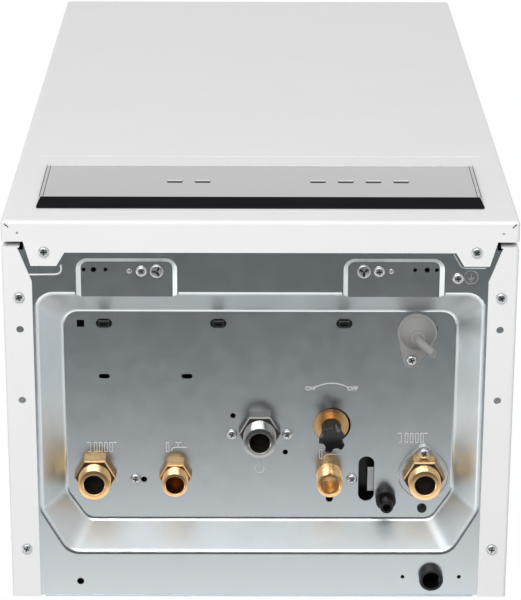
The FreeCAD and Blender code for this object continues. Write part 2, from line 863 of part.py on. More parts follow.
def make_front_cover():
    body = new_body("front_cover")
    face = new_sketch(body, "cover_face", "XZ", cover_back)
    draw_rectangle(face, (-half_width, half_width), (0, size.case_height))
    pad(body, face, size.cover_return)
    back = [f"Face{n}" for n, side in enumerate(body.Tip.Shape.Faces, 1)
            if near(side.BoundBox.YMin, cover_back)]
    add_feature(body, "Thickness", "cover_shell", Base=(body.Tip, back), Value=size.panel_sheet,
                Reversed=True)
    inner_face = front_face + size.panel_sheet

    def at_bend(edge, level):
        # An edge in the level's plane, or one that runs back from it.
        return near(edge.BoundBox.YMin, level)

    inner_bend = size.bend_radius - size.panel_sheet
    round_edges(body, "cover_inner_bends", inner_bend, lambda edge: at_bend(edge, inner_face))
    round_edges(body, "cover_bends", size.bend_radius, lambda edge: at_bend(edge, front_face))
    flange = new_sketch(body, "cover_flange_outline", "XY", 0)
    tab_inner = tab_place - size.tab_width / 2
    tab_outer = tab_place + size.tab_width / 2
    tab_end = tab_row + size.tab_reach
    right_edge = [(tab_inner - size.tab_slope, tab_row), (tab_inner, tab_end), (tab_outer, tab_end),
                  (tab_outer + size.tab_slope, cover_back - size.bend_radius)]
    draw_loop(flange, right_edge + [(-x, y) for x, y in reversed(right_edge)])
    pad(body, flange, size.panel_sheet)
    holes = new_sketch(body, "cover_screw_holes", "XY", 0)
    for side in SIDES.values():
        draw_circle(holes, (cover_screw_place * side, cover_screw_row), screw_hole)
    pocket(body, holes, size.panel_sheet * 4, SideType="Symmetric")
    window = new_sketch(body, "cover_window", "XZ", front_face)
    draw_rectangle(window, (-window_half, window_half), (window_low, window_high))
    pocket(body, window, size.panel_sheet * 2)
    crease = new_sketch(body, "cover_crease", "XZ", front_face)
    crease_length = size.case_width - size.crease_margin * 2
    draw_slot(crease, (as_size(0), size.crease_height), crease_length, size.crease_width)
    pocket(body, crease, size.crease_depth)


def make_side_panel(label, side):
    body = new_body(label)
    section = new_sketch(body, label + "_section", "XY", 0)
    fold = half_width - size.side_fold
    inner_front = side_front + size.panel_sheet
    draw_loop(section, [(x * side, y) for x, y in (
        (half_width, 0), (half_width, side_front), (fold, side_front), (fold, inner_front),
        (inner_half, inner_front), (inner_half, 0))])
    pad(body, section, size.case_height)
    flange = new_sketch(body, label + "_flange", "XY", 0)
    inner_edge = half_width - size.side_flange
    draw_loop(flange, [(x * side, y) for x, y in (
        (half_width, 0), (half_width, side_front), (half_width - size.side_notch_width, side_front),
        (inner_edge, side_front + size.side_notch_depth), (inner_edge, 0))])
    pad(body, flange, size.panel_sheet)

    def outer_bend(edge):
        bounds = edge.BoundBox
        outside = near(abs(edge.CenterOfMass.x), half_width)
        return outside and (upright(edge) and near(bounds.YMin, side_front) or level_at(edge, 0)
                            and bounds.YLength > 1)

    def inner_bend(edge):
        bounds = edge.BoundBox
        inside = near(abs(edge.CenterOfMass.x), inner_half)
        front_bend = upright(edge) and near(bounds.YMin, inner_front)
        foot_bend = level_at(edge, size.panel_sheet) and bounds.YLength > 1
        return inside and (front_bend or foot_bend)

    round_edges(body, label + "_bends", size.bend_radius, outer_bend)
    round_edges(body, label + "_inner_bends", size.bend_radius - size.panel_sheet, inner_bend)
    holes = new_sketch(body, label + "_holes", "XY", 0)
    for screw_row in side_screw_rows:
        draw_circle(holes, (side_screw_place * side, screw_row), screw_hole)
    for vent_row in (vent_hole_front, vent_hole_rear):
        draw_circle(holes, (side_screw_place * side, -vent_row), size.vent_hole_radius)
    pocket(body, holes, size.panel_sheet * 4, SideType="Symmetric")


def make_rear_frame():
    body = new_body("rear_frame")
    section = new_sketch(body, "frame_section", "XY", frame_low)
    inner = inner_half - size.frame_sheet
    right_edge = [(inner_half, 0), (inner_half, -size.frame_fold), (inner, -size.frame_fold),
                  (inner, frame_front)]
    draw_loop(section, right_edge + [(-x, y) for x, y in reversed(right_edge)])
    pad(body, section, top_low - frame_low)
    foot = new_sketch(body, "frame_foot", "XY", 0)
    foot_half = half_width - size.side_flange - size.cover_seam
    draw_rectangle(foot, (-foot_half, foot_half), (frame_front, 0))
    pad(body, foot, frame_low)
    holes = new_sketch(body, "frame_holes", "XZ", 0)
    for side in SIDES.values():
        place_x = size.hang_spacing / 2 * side
        draw_slot(holes, (place_x, hang_height), size.hang_slot_length, size.hang_slot_radius * 2)
        draw_circle(holes, (place_x, size.foot_hole_height), size.hang_slot_radius)
    pocket(body, holes, size.frame_sheet * 4, SideType="Symmetric")


def make_top_plate():
    body = new_body("top_plate")
    plate = new_sketch(body, "top_outline", "XY", top_low)
    front = side_front + size.panel_sheet
    right_edge = [(inner_half, 0), (inner_half, front + size.bend_radius),
                  (inner_half - size.bend_radius, front)]
    draw_loop(plate, right_edge + [(-x, y) for x, y in reversed(right_edge)])
    pad(body, plate, size.frame_sheet)
    folds = new_sketch(body, "top_folds", "XY", top_low - size.top_fold)
    for side in SIDES.values():
        across = sorted((inner_half * side, (inner_half - size.frame_sheet) * side),
                        key=lambda length: length.value)
        draw_rectangle(folds, across, (side_front + size.side_fold, -size.frame_fold - size.seat_clearance))
    pad(body, folds, size.top_fold)
    opening = new_sketch(body, "top_opening", "XY", top_low)
    draw_circle(opening, (0, -fan_row), size.collar_radius - size.collar_wall)
    punch(body, opening)


def recess_outline(half, front, rear, corner_run, corner_rise):
    right_edge = [(half, front), (half, rear - corner_rise), (half - corner_run, rear)]
    return right_edge + [(-x, y) for x, y in reversed(right_edge)]


def press_recess(body, kind, name, grow_low, grow_high, low, high):
    # One skin of the drafted recess, grown outwards from the inner skin at its lower and upper edge.
    rim = new_sketch(body, name + "_rim", "XY", low)
    draw_rounded_loop(rim, recess_outline(
        rim_half_width + grow_low, -rim_front - grow_low, -size.rim_rear + grow_low,
        size.rim_corner_run, size.rim_corner_rise), size.recess_corner + grow_low)
    floor = new_sketch(body, name + "_floor", "XY", high)
    draw_rounded_loop(floor, recess_outline(
        rim_half_width - size.wall_run + grow_high, -rim_front + size.wall_run_front - grow_high,
        -size.rim_rear - size.wall_run + grow_high, size.floor_corner_run, size.floor_corner_rise),
        size.recess_corner + grow_high)
    loft(body, kind, name, rim, floor)


def round_recess(body, name, rim_level, floor_level, rim_bend, floor_bend):
    def on_recess(edge, height):
        bounds = edge.BoundBox
        inside = abs(edge.CenterOfMass.x) < rim_half_width.value + 3
        return level_at(edge, height) and inside and -bounds.YMin < rim_front.value + 3 and bounds.YMax < -30

    round_edges(body, name + "_rim_bend", rim_bend, lambda edge: on_recess(edge, rim_level))
    round_edges(body, name + "_floor_bend", floor_bend, lambda edge: on_recess(edge, floor_level))


def press_pad(body, name, side, kind, grow, depth, rear):
    # A shallow drafted pad that runs into the recess.
    loops = []
    for level, inset in ((tray_low, 0), (tray_low + depth, size.pad_draft)):
        sketch = new_sketch(body, f"{name}_{'rim' if inset == 0 else 'floor'}", "XY", level)
        ends = ((size.pad_inner - grow + inset) * side, (pad_outer + grow - inset) * side)
        left, right = ends if side > 0 else ends[::-1]
        front = -pad_front - grow + inset
        draw_rounded_loop(sketch, [(right, front), (right, rear), (left, rear), (left, front)],
                          size.pad_corner + grow - inset)
        loops.append(sketch)
    loft(body, kind, name, *loops)


def clear_recess_mouth(body, depth, rear):
    # Takes the pads' rear ends out of the recess again, along the slope of its front wall.
    slope = size.wall_run_front / size.recess_depth
    across = (-pad_outer - size.frame_sheet * 2, pad_outer + size.frame_sheet * 2)
    loops = []
    for label, level in (("rim", as_size(0)), ("top", depth)):
        sketch = new_sketch(body, "recess_mouth_" + label, "XY", tray_low + level)
        draw_rectangle(sketch, across, (-rim_front + slope * level, rear))
        loops.append(sketch)
    loft(body, "SubtractiveLoft", "recess_mouth", *loops)


def make_bottom_tray():
    body = new_body("bottom_tray")
    outline = new_sketch(body, "tray_outline", "XY", tray_low)
    notch = half_width - size.side_fold - size.bend_radius
    shoulder = side_front + size.bend_radius
    right_edge = [(notch, tray_front), (notch, shoulder), (tray_half, shoulder), (tray_half, frame_front)]
    draw_loop(outline, right_edge + [(-x, y) for x, y in reversed(right_edge)])
    pad(body, outline, size.frame_sheet)
    lips = new_sketch(body, "tray_lips", "XY", tray_low)
    for side in SIDES.values():
        lip = ((tray_half - size.frame_sheet) * side, tray_half * side)
        draw_rectangle(lips, lip, (shoulder, frame_front))
    pad(body, lips, size.tray_lip)
    bend = size.recess_bend
    press_recess(body, "AdditiveLoft", "recess_outside", size.frame_sheet * 1.25, size.frame_sheet * 0.5,
                 tray_low, floor_top)
    round_recess(body, "recess_outside", tray_top, floor_top, bend, bend + size.frame_sheet)
    press_recess(body, "SubtractiveLoft", "recess_inside", as_size(0), as_size(0), tray_low, floor_low)
    round_recess(body, "recess_inside", tray_low, floor_low, bend + size.frame_sheet, bend)
    skin_depth = size.pad_depth + size.frame_sheet
    pad_rear = -rim_front + size.wall_run_front + size.pad_corner
    for name, side in SIDES.items():
        press_pad(body, name + "_pad_outside", side, "AdditiveLoft", size.frame_sheet, skin_depth, pad_rear)
    clear_recess_mouth(body, skin_depth, pad_rear + size.frame_sheet)
    for name, side in SIDES.items():
        press_pad(body, name + "_pad_inside", side, "SubtractiveLoft", as_size(0), size.pad_depth, pad_rear)
    holes = new_sketch(body, "tray_holes", "XY", tray_low)
    for centre, radius in tray_circles():
        draw_circle(holes, centre, radius)
    for centre, length, width, standing in tray_slots():
        draw_slot(holes, centre, length, width, standing)
    square = size.square_inset - rim_half_width
    half = size.square_hole / 2
    draw_rectangle(holes, (square - half, square + half), (-clip_row - half, half - clip_row))
    punch(body, holes)


# Small pieces on the tray


def make_screws():
    # Pan-headed screws below their seats, with the shanks going up, all in one group.
    spots = [(cover_screw_place * side, cover_screw_row, as_size(0)) for side in SIDES.values()]
    spots += [(side_screw_place * side, row, as_size(0))
              for side in SIDES.values() for row in side_screw_rows]
    spots += [(size.pad_screw_place * side, pad_row, tray_low + size.pad_depth) for side in SIDES.values()]
    spots += [(x, y, floor_low) for x, y in (*gas_screw_spots, *water_screw_spots)]
    spots += [(earth_place, -earth_row, tray_low),
              (*return_screw, floor_low - size.plate_thickness),
              (*grommet_screw, floor_low - size.grommet_base)]
    screws = []
    for number, (x, y, seat) in enumerate(spots):
        name = f"screw_{number}"
        head = cone(name + "_head", "z", (size.screw_crown_radius, size.screw_head_radius),
                    (seat - size.screw_head_height, seat), (x, y))
        shank = cylinder(name + "_shank", "z", size.screw_shank_radius,
                         (seat, seat + size.screw_length), (x, y))
        screws.append(fuse(name, head, shank))
    return gather("pan_head_screws", screws)


def turn_piece(label, centre, profile):
    # A round piece about a vertical axis, from its half section of radius and height.
    body = new_body(label)
    section = new_sketch(body, label + "_section", "XZ", 0)
    draw_loop(section, profile)
    revolve(body, section)
    place(body, centre[0], centre[1], 0)
    return body


def make_fitting(label, centre, thread, bore, hexagon, reach, seat):
    end = floor_low - reach
    stub = thread - size.stub_step
    hex_low = seat - size.hex_height
    top = floor_top + size.fitting_socket
    body = turn_piece(label, centre, [
        (bore, end), (thread - size.thread_chamfer, end), (thread, end + size.thread_chamfer), (thread, seat),
        (stub, seat), (stub, top), (bore, top)])
    if hexagon:
        prism = add_feature(body, "AdditivePrism", label + "_hexagon", Polygon=6,
                            Circumradius=hexagon / math.sqrt(3), Height=size.hex_height)
        bind(prism, {"Placement.Base.z": hex_low})
        hollow = new_sketch(body, label + "_bore", "XY", hex_low)
        draw_circle(hollow, (0, 0), bore)
        punch(body, hollow)
    return body


def make_return_plate():
    body = new_body("return_flange_plate")
    outline = new_sketch(body, "return_plate_outline", "XY", floor_low - size.plate_thickness)
    draw_hull(outline, (as_size(0), as_size(0)), size.plate_radius, (as_size(0), -size.plate_lug_reach),
              size.plate_lug_radius)
    draw_circle(outline, (0, 0), large_stub + size.seat_clearance)
    draw_circle(outline, (0, -size.plate_lug_reach), screw_hole)
    pad(body, outline, size.plate_thickness)
    place(body, return_centre[0], return_centre[1], 0)


def make_filling_valve():
    spigot_bore = size.knob_spigot_radius + size.seat_clearance
    stem_low = floor_low - size.fill_stem_length
    turn_piece("filling_valve_body", fill_centre, [
        (0, stem_low + size.knob_spigot_depth), (spigot_bore, stem_low + size.knob_spigot_depth),
        (spigot_bore, stem_low), (size.fill_stem_radius, stem_low),
        (size.fill_stem_radius, floor_low - size.fill_ring_height),
        (size.fill_ring_radius, floor_low - size.fill_ring_height), (size.fill_ring_radius, floor_low),
        (size.fill_washer_radius, floor_low), (size.fill_washer_radius, size.block_low), (0, size.block_low)])
    knob_high = stem_low - size.seat_clearance
    knob_low = knob_high - size.knob_length
    waist = knob_high - size.knob_length * size.knob_waist_share
    spigot_high = stem_low + size.knob_spigot_depth - size.seat_clearance
    knob = turn_piece("filling_valve_knob", fill_centre, [
        (0, knob_low), (size.knob_tip_radius, knob_low), (size.knob_tip_radius, knob_low + size.knob_rim),
        (size.knob_base_radius, waist), (size.knob_base_radius, knob_high),
        (size.knob_spigot_radius, knob_high), (size.knob_spigot_radius, spigot_high), (0, spigot_high)])
    flute = new_sketch(knob, "knob_flute", "XY", knob_low)
    draw_circle(flute, (size.knob_flute_place, 0), size.knob_flute_radius)
    groove = pocket(knob, flute, size.knob_length * size.knob_flute_share, Reversed=True)
    add_feature(knob, "PolarPattern", "knob_flutes", Originals=[groove], Axis=(flute, ["N_Axis"]), Angle=360,
                Occurrences=5)


def make_drain_valve():
    stub_low = floor_low - size.drain_collar_height + size.drain_seat
    turn_piece("drain_valve_body", drain_centre, [
        (0, stub_low), (size.drain_stub_radius, stub_low), (size.drain_stub_radius, size.block_low),
        (0, size.block_low)])
    cock_high = floor_low - size.seat_clearance
    collar_low = cock_high - size.drain_collar_height
    nozzle_low = cock_high - size.drain_length
    hollow = size.drain_stub_radius + size.seat_clearance
    pocket_top = stub_low - size.seat_clearance
    turn_piece("drain_cock", drain_centre, [
        (size.drain_bore_radius, nozzle_low), (size.drain_nozzle_radius - 0.6, nozzle_low),
        (size.drain_nozzle_radius, nozzle_low + 1.5), (size.drain_nozzle_radius, collar_low),
        (size.drain_collar_radius, collar_low), (size.drain_collar_radius, cock_high), (hollow, cock_high),
        (hollow, pocket_top), (size.drain_bore_radius, pocket_top)])


def make_snap_studs():
    studs = []
    seat = tray_low + size.pad_depth
    for name, side in SIDES.items():
        centre = (size.pad_stud_place * side, pad_row)
        head = cylinder(name + "_stud_head", "z", size.stud_radius, (seat - size.stud_height, seat), centre)
        shank = cylinder(name + "_stud_shank", "z", size.stud_shank_radius,
                         (seat, seat + size.screw_length), centre)
        studs.append(fuse(name + "_stud", head, shank))
    gather("snap_studs", studs)


def make_cable_gland():
    flange_top = tray_top + size.gland_lip
    turn_piece("cable_gland", (gland_place, -size.gland_row), [
        (size.gland_bore, tray_low - size.gland_drop), (size.gland_radius - 1, tray_low - size.gland_drop),
        (size.gland_radius, tray_low - size.gland_drop + 1), (size.gland_radius, tray_low),
        (size.gland_neck, tray_low), (size.gland_neck, tray_top), (size.gland_radius, tray_top),
        (size.gland_neck, flange_top), (size.gland_bore, flange_top)])


def make_tray_plug():
    turn_piece("tray_plug", (plug_place, -size.plug_row), [
        (0, floor_low - 2), (size.plug_radius - 0.6, floor_low - 2), (size.plug_radius, floor_low - 1.4),
        (size.plug_radius, floor_low), (size.plug_neck, floor_low), (size.plug_neck, floor_top),
        (size.plug_radius - 0.5, floor_top), (size.plug_neck, floor_top + 2.5), (0, floor_top + 2.5)])


def make_cable_grommet():
    body = new_body("cable_grommet")
    base_low = floor_low - size.grommet_base
    base = new_sketch(body, "grommet_outline", "XY", base_low)
    draw_hull(base, (as_size(0), as_size(0)), size.grommet_radius,
              (-size.grommet_lug_shift, size.grommet_lug_drop), size.grommet_lug_radius)
    draw_circle(base, (-size.grommet_lug_shift, size.grommet_lug_drop), screw_hole)
    pad(body, base, size.grommet_base)
    cone_low = base_low - size.grommet_rise
    dome = new_sketch(body, "grommet_dome", "XZ", 0)
    lip_low = cone_low - size.grommet_lip
    draw_loop(dome, [(0, lip_low), (size.grommet_collar, lip_low),
                     (size.grommet_collar, cone_low + size.grommet_lip_slope),
                     (size.grommet_radius - size.grommet_lip, base_low), (0, base_low)])
    revolve(body, dome)
    ring = new_sketch(body, "nipple_ring", "XY", lip_low)
    draw_circle(ring, (0, 0), size.nipple_radius)
    path = new_sketch(body, "nipple_path", "XZ", 0)
    path_low = lip_low - size.nipple_drop
    draw_bend(path, (as_size(0), lip_low), size.nipple_drop, size.nipple_bend,
              (size.nipple_reach, path_low - size.nipple_reach * 0.8))
    add_feature(body, "AdditivePipe", "grommet_nipple", Profile=ring,
                Spine=(path, ["Edge1", "Edge2", "Edge3"]))
    place(body, grommet_place, -grommet_row, 0)


def make_cable_clips():
    clips = []
    half = size.clip_width / 2
    head_half = size.clip_slot_width / 2 + size.clip_margin
    head_high = size.clip_slot_height / 2 + size.clip_margin
    for number, x in enumerate((clip_first, clip_second, clip_third)):
        tongue = box(f"clip_{number}_tongue", (x - half, x + half),
                     (-clip_row - size.clip_height / 2, -clip_row + size.clip_height / 2),
                     (floor_low - size.clip_drop, floor_top))
        head = box(f"clip_{number}_head", (x - head_half, x + head_half),
                   (-clip_row - head_high, -clip_row + head_high), (floor_top, floor_top + size.clip_drop))
        clips.append(fuse(f"clip_{number}", tongue, head))
    gather("cable_clips", clips)


# Controls


def make_control_panel():
    body = new_body("control_panel")
    slab = new_sketch(body, "fascia_outline", "XZ", front_face)
    draw_rectangle(slab, (-fascia_half_width, fascia_half_width), (size.fascia_low, size.fascia_high))
    pad(body, slab, size.fascia_proud)
    face = front_face - size.fascia_proud
    chin = new_sketch(body, "fascia_chin_wedge", "YZ", 0)
    draw_loop(chin, [(face, size.fascia_low + size.fascia_chin), (face, size.fascia_low),
                     (face + size.fascia_chin_drop, size.fascia_low)])
    pocket(body, chin, size.case_width, SideType="Symmetric")
    round_edges(body, "fascia_corners", size.fascia_corner, lambda edge: edge.BoundBox.YLength > 0.1
                and edge.BoundBox.ZLength < 0.01)

    def face_edge(edge):
        return near(edge.BoundBox.YMin, face) and near(edge.BoundBox.YMax, face) and not level_at(
            edge, size.fascia_low + size.fascia_chin)

    edges = [f"Edge{n}" for n, edge in enumerate(body.Tip.Shape.Edges, 1) if face_edge(edge)]
    add_feature(body, "Chamfer", "fascia_bevel", Base=(body.Tip, edges), Size=size.fascia_edge)
    boss = new_sketch(body, "fascia_boss", "XZ", front_face + size.boss_depth)
    outer = window_half - size.seat_clearance
    inner = outer - size.boss_wall
    low = window_low + size.seat_clearance
    high = window_high - size.seat_clearance
    draw_rectangle(boss, (-outer, outer), (low, high))
    draw_rectangle(boss, (-inner, inner), (low + size.boss_wall, high - size.boss_wall))
    pad(body, boss, size.boss_depth)
    posts = new_sketch(body, "fascia_posts", "XZ", board_front)
    for x in (-post_place, post_place):
        for z in post_heights:
            draw_circle(posts, (x, z), size.post_radius)
    pad(body, posts, board_front - front_face)
    openings = new_sketch(body, "key_openings", "XZ", front_face)
    half_key = size.key_width / 2 + size.key_clearance
    half_high = size.key_height / 2 + size.key_clearance
    for x in KEYS.values():
        draw_rectangle(openings, (x - half_key, x + half_key),
                       (size.key_row - half_high, size.key_row + half_high))
    pocket(body, openings, size.fascia_proud * 2, Reversed=True)


def make_key(label, x):
    body = new_body(label)
    skirt_front = front_face + size.seat_clearance
    skirt_back = skirt_front + size.key_skirt_thickness
    cap = new_sketch(body, label + "_cap", "XZ", skirt_front)
    half_key = size.key_width / 2
    half_high = size.key_height / 2
    draw_rectangle(cap, (-half_key, half_key), (-half_high, half_high))
    pad(body, cap, size.seat_clearance + size.fascia_proud + size.key_proud)
    face = front_face - size.fascia_proud - size.key_proud
    round_edges(body, label + "_round", size.key_round, lambda edge: near(edge.BoundBox.YMax, face))
    skirt = new_sketch(body, label + "_skirt", "XZ", skirt_back)
    draw_rectangle(skirt, (-half_key - size.key_skirt, half_key + size.key_skirt),
                   (-half_high - size.key_skirt, half_high + size.key_skirt))
    pad(body, skirt, size.key_skirt_thickness)
    place(body, x, 0, size.key_row)


def make_display_module():
    margin = size.boss_wall + size.moulding_wall
    board = box("display_board", (-window_half + margin, window_half - margin), (board_front, board_front
                + size.board_thickness), (window_low + margin, window_high - margin))
    screen_half = size.screen_width / 2
    screen = box("display_screen", (-screen_half, screen_half),
                 (front_face + size.seat_clearance, board_front),
                 (size.key_row - size.screen_height / 2, size.key_row + size.screen_height / 2))
    switch_front = front_face + size.seat_clearance * 2 + size.key_skirt_thickness + size.key_travel
    switches = []
    for label, x in KEYS.items():
        half = size.switch_width / 2
        switches.append(box(label + "_switch", (x - half, x + half), (switch_front, board_front),
                            (size.key_row - half, size.key_row + half)))
    fuse("display_module", board, screen, *switches)


def make_control_box():
    wall = size.moulding_wall
    half = control_box_half_width
    front = -control_box_front
    rear = -control_box_rear
    shell = box("control_box_shell", (-half, half), (front, rear),
                (size.control_box_low, size.control_box_high))
    hollow = box("control_box_hollow", (-half + wall, half - wall), (front - wall, rear - wall),
                 (size.control_box_low + wall, size.control_box_high - wall))
    tray = cut("control_box_tray", shell, hollow)
    legs = []
    leg_front = -pad_front + size.pad_draft * 2
    leg_half = size.control_leg_width / 2
    for name, side in SIDES.items():
        middle = size.control_leg_place * side
        legs.append(box(name + "_leg", (middle - leg_half, middle + leg_half),
                        (leg_front, leg_front + size.control_leg_width),
                        (tray_top, size.control_box_low + wall)))
    posts = []
    for x in (-half + size.board_margin, half - size.board_margin):
        for z in (size.control_box_low + size.board_margin, size.control_box_high - size.board_margin):
            posts.append(cylinder(f"box_post_{len(posts)}", "y", size.post_radius,
                                  (rear - size.board_lift, rear - wall), (x, z)))
    fuse("control_box", tray, *legs, *posts)
    board_rear = rear - size.board_lift
    edge = size.board_margin / 2
    board = box("circuit_board_panel", (-half + edge, half - edge),
                (board_rear - size.board_thickness, board_rear),
                (size.control_box_low + edge, size.control_box_high - edge))
    parts = []
    for number, (x, z, width, height, depth) in enumerate(BOARD_BLOCKS):
        middle = (size.control_box_low + size.control_box_high) / 2
        parts.append(box(f"board_block_{number}", (as_size(x), as_size(x + width)),
                         (board_rear - size.board_thickness - depth, board_rear - size.board_thickness),
                         (middle + z, middle + z + height)))
    fuse("circuit_board", board, *parts)


# Water side


def make_water_block(label, inner, outer, side, sockets):
    # A moulded block over two fittings, with a boss down to the tray at each.
    body = new_body(label)
    outline = new_sketch(body, label + "_outline", "XY", size.block_low)
    across = ((inner - size.block_margin) * side, (outer + size.block_margin) * side)
    draw_rectangle(outline, across, (-size.block_front, -size.block_rear))
    pad(body, outline, size.block_high - size.block_low)
    round_edges(body, label + "_corners", size.block_round, lambda edge: upright(edge)
                and near(edge.BoundBox.YMin, -size.block_front))
    bosses = new_sketch(body, label + "_bosses", "XY", floor_top)
    for x, stub in sockets:
        draw_circle(bosses, (x, -size.fitting_row), stub + size.socket_wall)
    pad(body, bosses, size.block_low - floor_top)
    holes = new_sketch(body, label + "_sockets", "XY", floor_top)
    for x, stub in sockets:
        draw_circle(holes, (x, -size.fitting_row), stub + size.screw_clearance)
    pocket(body, holes, size.fitting_socket, Reversed=True)
    return body


def make_flow_block():
    body = make_water_block("flow_water_block", hot_place, flow_place, -1,
                            ((-hot_place, small_stub), (-flow_place, large_stub)))
    tower = new_sketch(body, "diverter_tower", "XY", size.block_high)
    draw_circle(tower, (-diverter_place, -size.fitting_row), size.diverter_radius)
    pad(body, tower, size.diverter_height)


def make_return_block():
    body = make_water_block("return_water_block", cold_place, return_place, 1,
                            ((cold_place, small_stub), (return_place, large_stub)))
    arm = new_sketch(body, "filling_arm", "XY", size.block_low)
    half = size.fill_washer_radius + size.socket_wall
    draw_rectangle(arm, (fill_place - half, fill_place + half), (-size.fill_row - half, -size.fitting_row))
    pad(body, arm, size.block_high - size.block_low)


def make_plate_exchanger():
    body = new_body("plate_heat_exchanger")
    half = size.exchanger_half_length
    inset = size.exchanger_inset
    core = new_sketch(body, "exchanger_core", "XZ", exchanger_rear)
    draw_rectangle(core, (-half + inset, half - inset),
                   (size.exchanger_low + inset, size.exchanger_high - inset))
    pad(body, core, size.exchanger_stack)
    plate = new_sketch(body, "exchanger_plate_outline", "XZ", exchanger_rear)
    draw_slot(plate, (as_size(0), (size.exchanger_low + size.exchanger_high) / 2), half * 2,
              size.exchanger_high - size.exchanger_low)
    first = pad(body, plate, size.exchanger_plate)
    pitch = size.exchanger_plate * 2
    count = int((size.exchanger_stack.value - size.exchanger_plate.value) / pitch.value) + 1
    add_feature(body, "LinearPattern", "exchanger_plates", Originals=[first], Direction=(plate, ["N_Axis"]),
                Length=pitch * (count - 1), Occurrences=count)


def make_pump():
    centre = (pump_place, size.pump_height)
    rear = -size.fitting_row + size.pump_depth / 2
    front = rear - size.pump_depth
    volute = cylinder("pump_volute", "y", size.pump_radius, (front, rear), centre)
    inlet = cylinder("pump_inlet", "z", size.pump_stub, (size.block_high, size.pump_height),
                     (pump_place, -size.fitting_row))
    outlet = cylinder("pump_outlet", "z", size.pump_stub, (size.pump_height, pump_top),
                      (pipe_place, -size.fitting_row))
    collar = cylinder("pump_vent_collar", "z", size.vent_radius, (size.pump_height, pump_top),
                      (vent_place, -size.fitting_row))
    fuse("pump_housing", volute, inlet, outlet, collar)
    motor_front = size.pump_motor_gap - control_box_rear
    can = cylinder("pump_motor_can", "y", size.pump_motor_radius, (motor_front, front), centre)
    terminal_half = size.pump_motor_radius * size.terminal_share
    terminals = box("pump_terminals", (pump_place - terminal_half, pump_place + terminal_half),
                    (motor_front, motor_front + (front - motor_front) * size.terminal_share),
                    (size.pump_height, size.pump_height + size.pump_motor_radius + size.block_round))
    fuse("pump_motor", can, terminals)
    cap_low = pump_top + size.vent_height
    vent = cylinder("air_vent_body", "z", size.vent_radius, (pump_top, cap_low),
                    (vent_place, -size.fitting_row))
    cap = cone("air_vent_cap", "z", (size.vent_radius * 0.5, size.vent_radius * 0.35),
               (cap_low, cap_low + size.vent_radius), (vent_place, -size.fitting_row))
    fuse("air_vent", vent, cap)


def make_safety_valve():
    centre = (safety_place, (size.block_low + size.block_high) / 2)
    seat = -size.block_front
    nose = seat - size.safety_length
    stem = cylinder("safety_stem", "y", size.safety_radius * 0.6, (nose, seat), centre)
    cap = cylinder("safety_cap", "y", size.safety_radius, (nose, nose + size.safety_length * 0.6), centre)
    fuse("safety_valve", stem, cap)


def make_diverter_motor():
    low = size.block_high + size.diverter_height
    half = size.diverter_radius + size.moulding_wall
    body = new_body("diverter_motor")
    outline = new_sketch(body, "diverter_motor_outline", "XY", low)
    draw_rectangle(outline, (-half, half), (-half, half))
    pad(body, outline, size.diverter_motor_height)
    round_edges(body, "diverter_motor_corners", size.diverter_radius / 3, upright)
    place(body, -diverter_place, -size.fitting_row, 0)


def make_expansion_vessel():
    body = new_body("expansion_vessel")
    section = new_sketch(body, "vessel_section", "XZ", 0)
    seam_low = size.vessel_depth / 2 - size.vessel_seam
    seam_high = size.vessel_depth / 2 + size.vessel_seam
    rim = vessel_radius - size.vessel_seam * 2
    crown = rim - size.vessel_crown
    draw_loop(section, [(0, 0), (crown, 0), (rim, seam_low), (vessel_radius, seam_low),
                        (vessel_radius, seam_high), (rim, seam_high), (crown, size.vessel_depth),
                        (0, size.vessel_depth)])
    revolve(body, section)
    body.Placement.Rotation = FreeCAD.Rotation(FreeCAD.Vector(1, 0, 0), 90)
    place(body, 0, frame_front, vessel_height)


def make_vessel_hose():
    port_row = frame_front - size.vessel_depth / 2
    drop = math.sqrt(vessel_radius.value ** 2 - vessel_port_place.value ** 2)
    port = vessel_height - drop - size.vessel_seam
    rise = port - size.block_high
    low_turn = size.block_high + rise * size.hose_low_turn
    high_turn = size.block_high + rise * size.hose_high_turn
    block_row = -size.block_rear - size.hose_radius * 1.5
    tube("expansion_hose", size.hose_radius, (
        (vessel_port_place, block_row, size.block_high), (vessel_port_place, block_row, low_turn),
        (vessel_port_place, port_row, high_turn), (vessel_port_place, port_row, port)), size.pipe_bend)


def make_water_pipes():
    tube("flow_pipe", size.pipe_radius, (
        (-pipe_place, -size.fitting_row, size.block_high), (-pipe_place, -size.fitting_row, header_height),
        (-header_face, -size.fitting_row, header_height)), size.pipe_bend)
    tube("return_pipe", size.pipe_radius, (
        (pipe_place, -size.fitting_row, pump_top), (pipe_place, -size.fitting_row, header_height),
        (header_face, -size.fitting_row, header_height)), size.pipe_bend)


# Gas side, combustion and flue


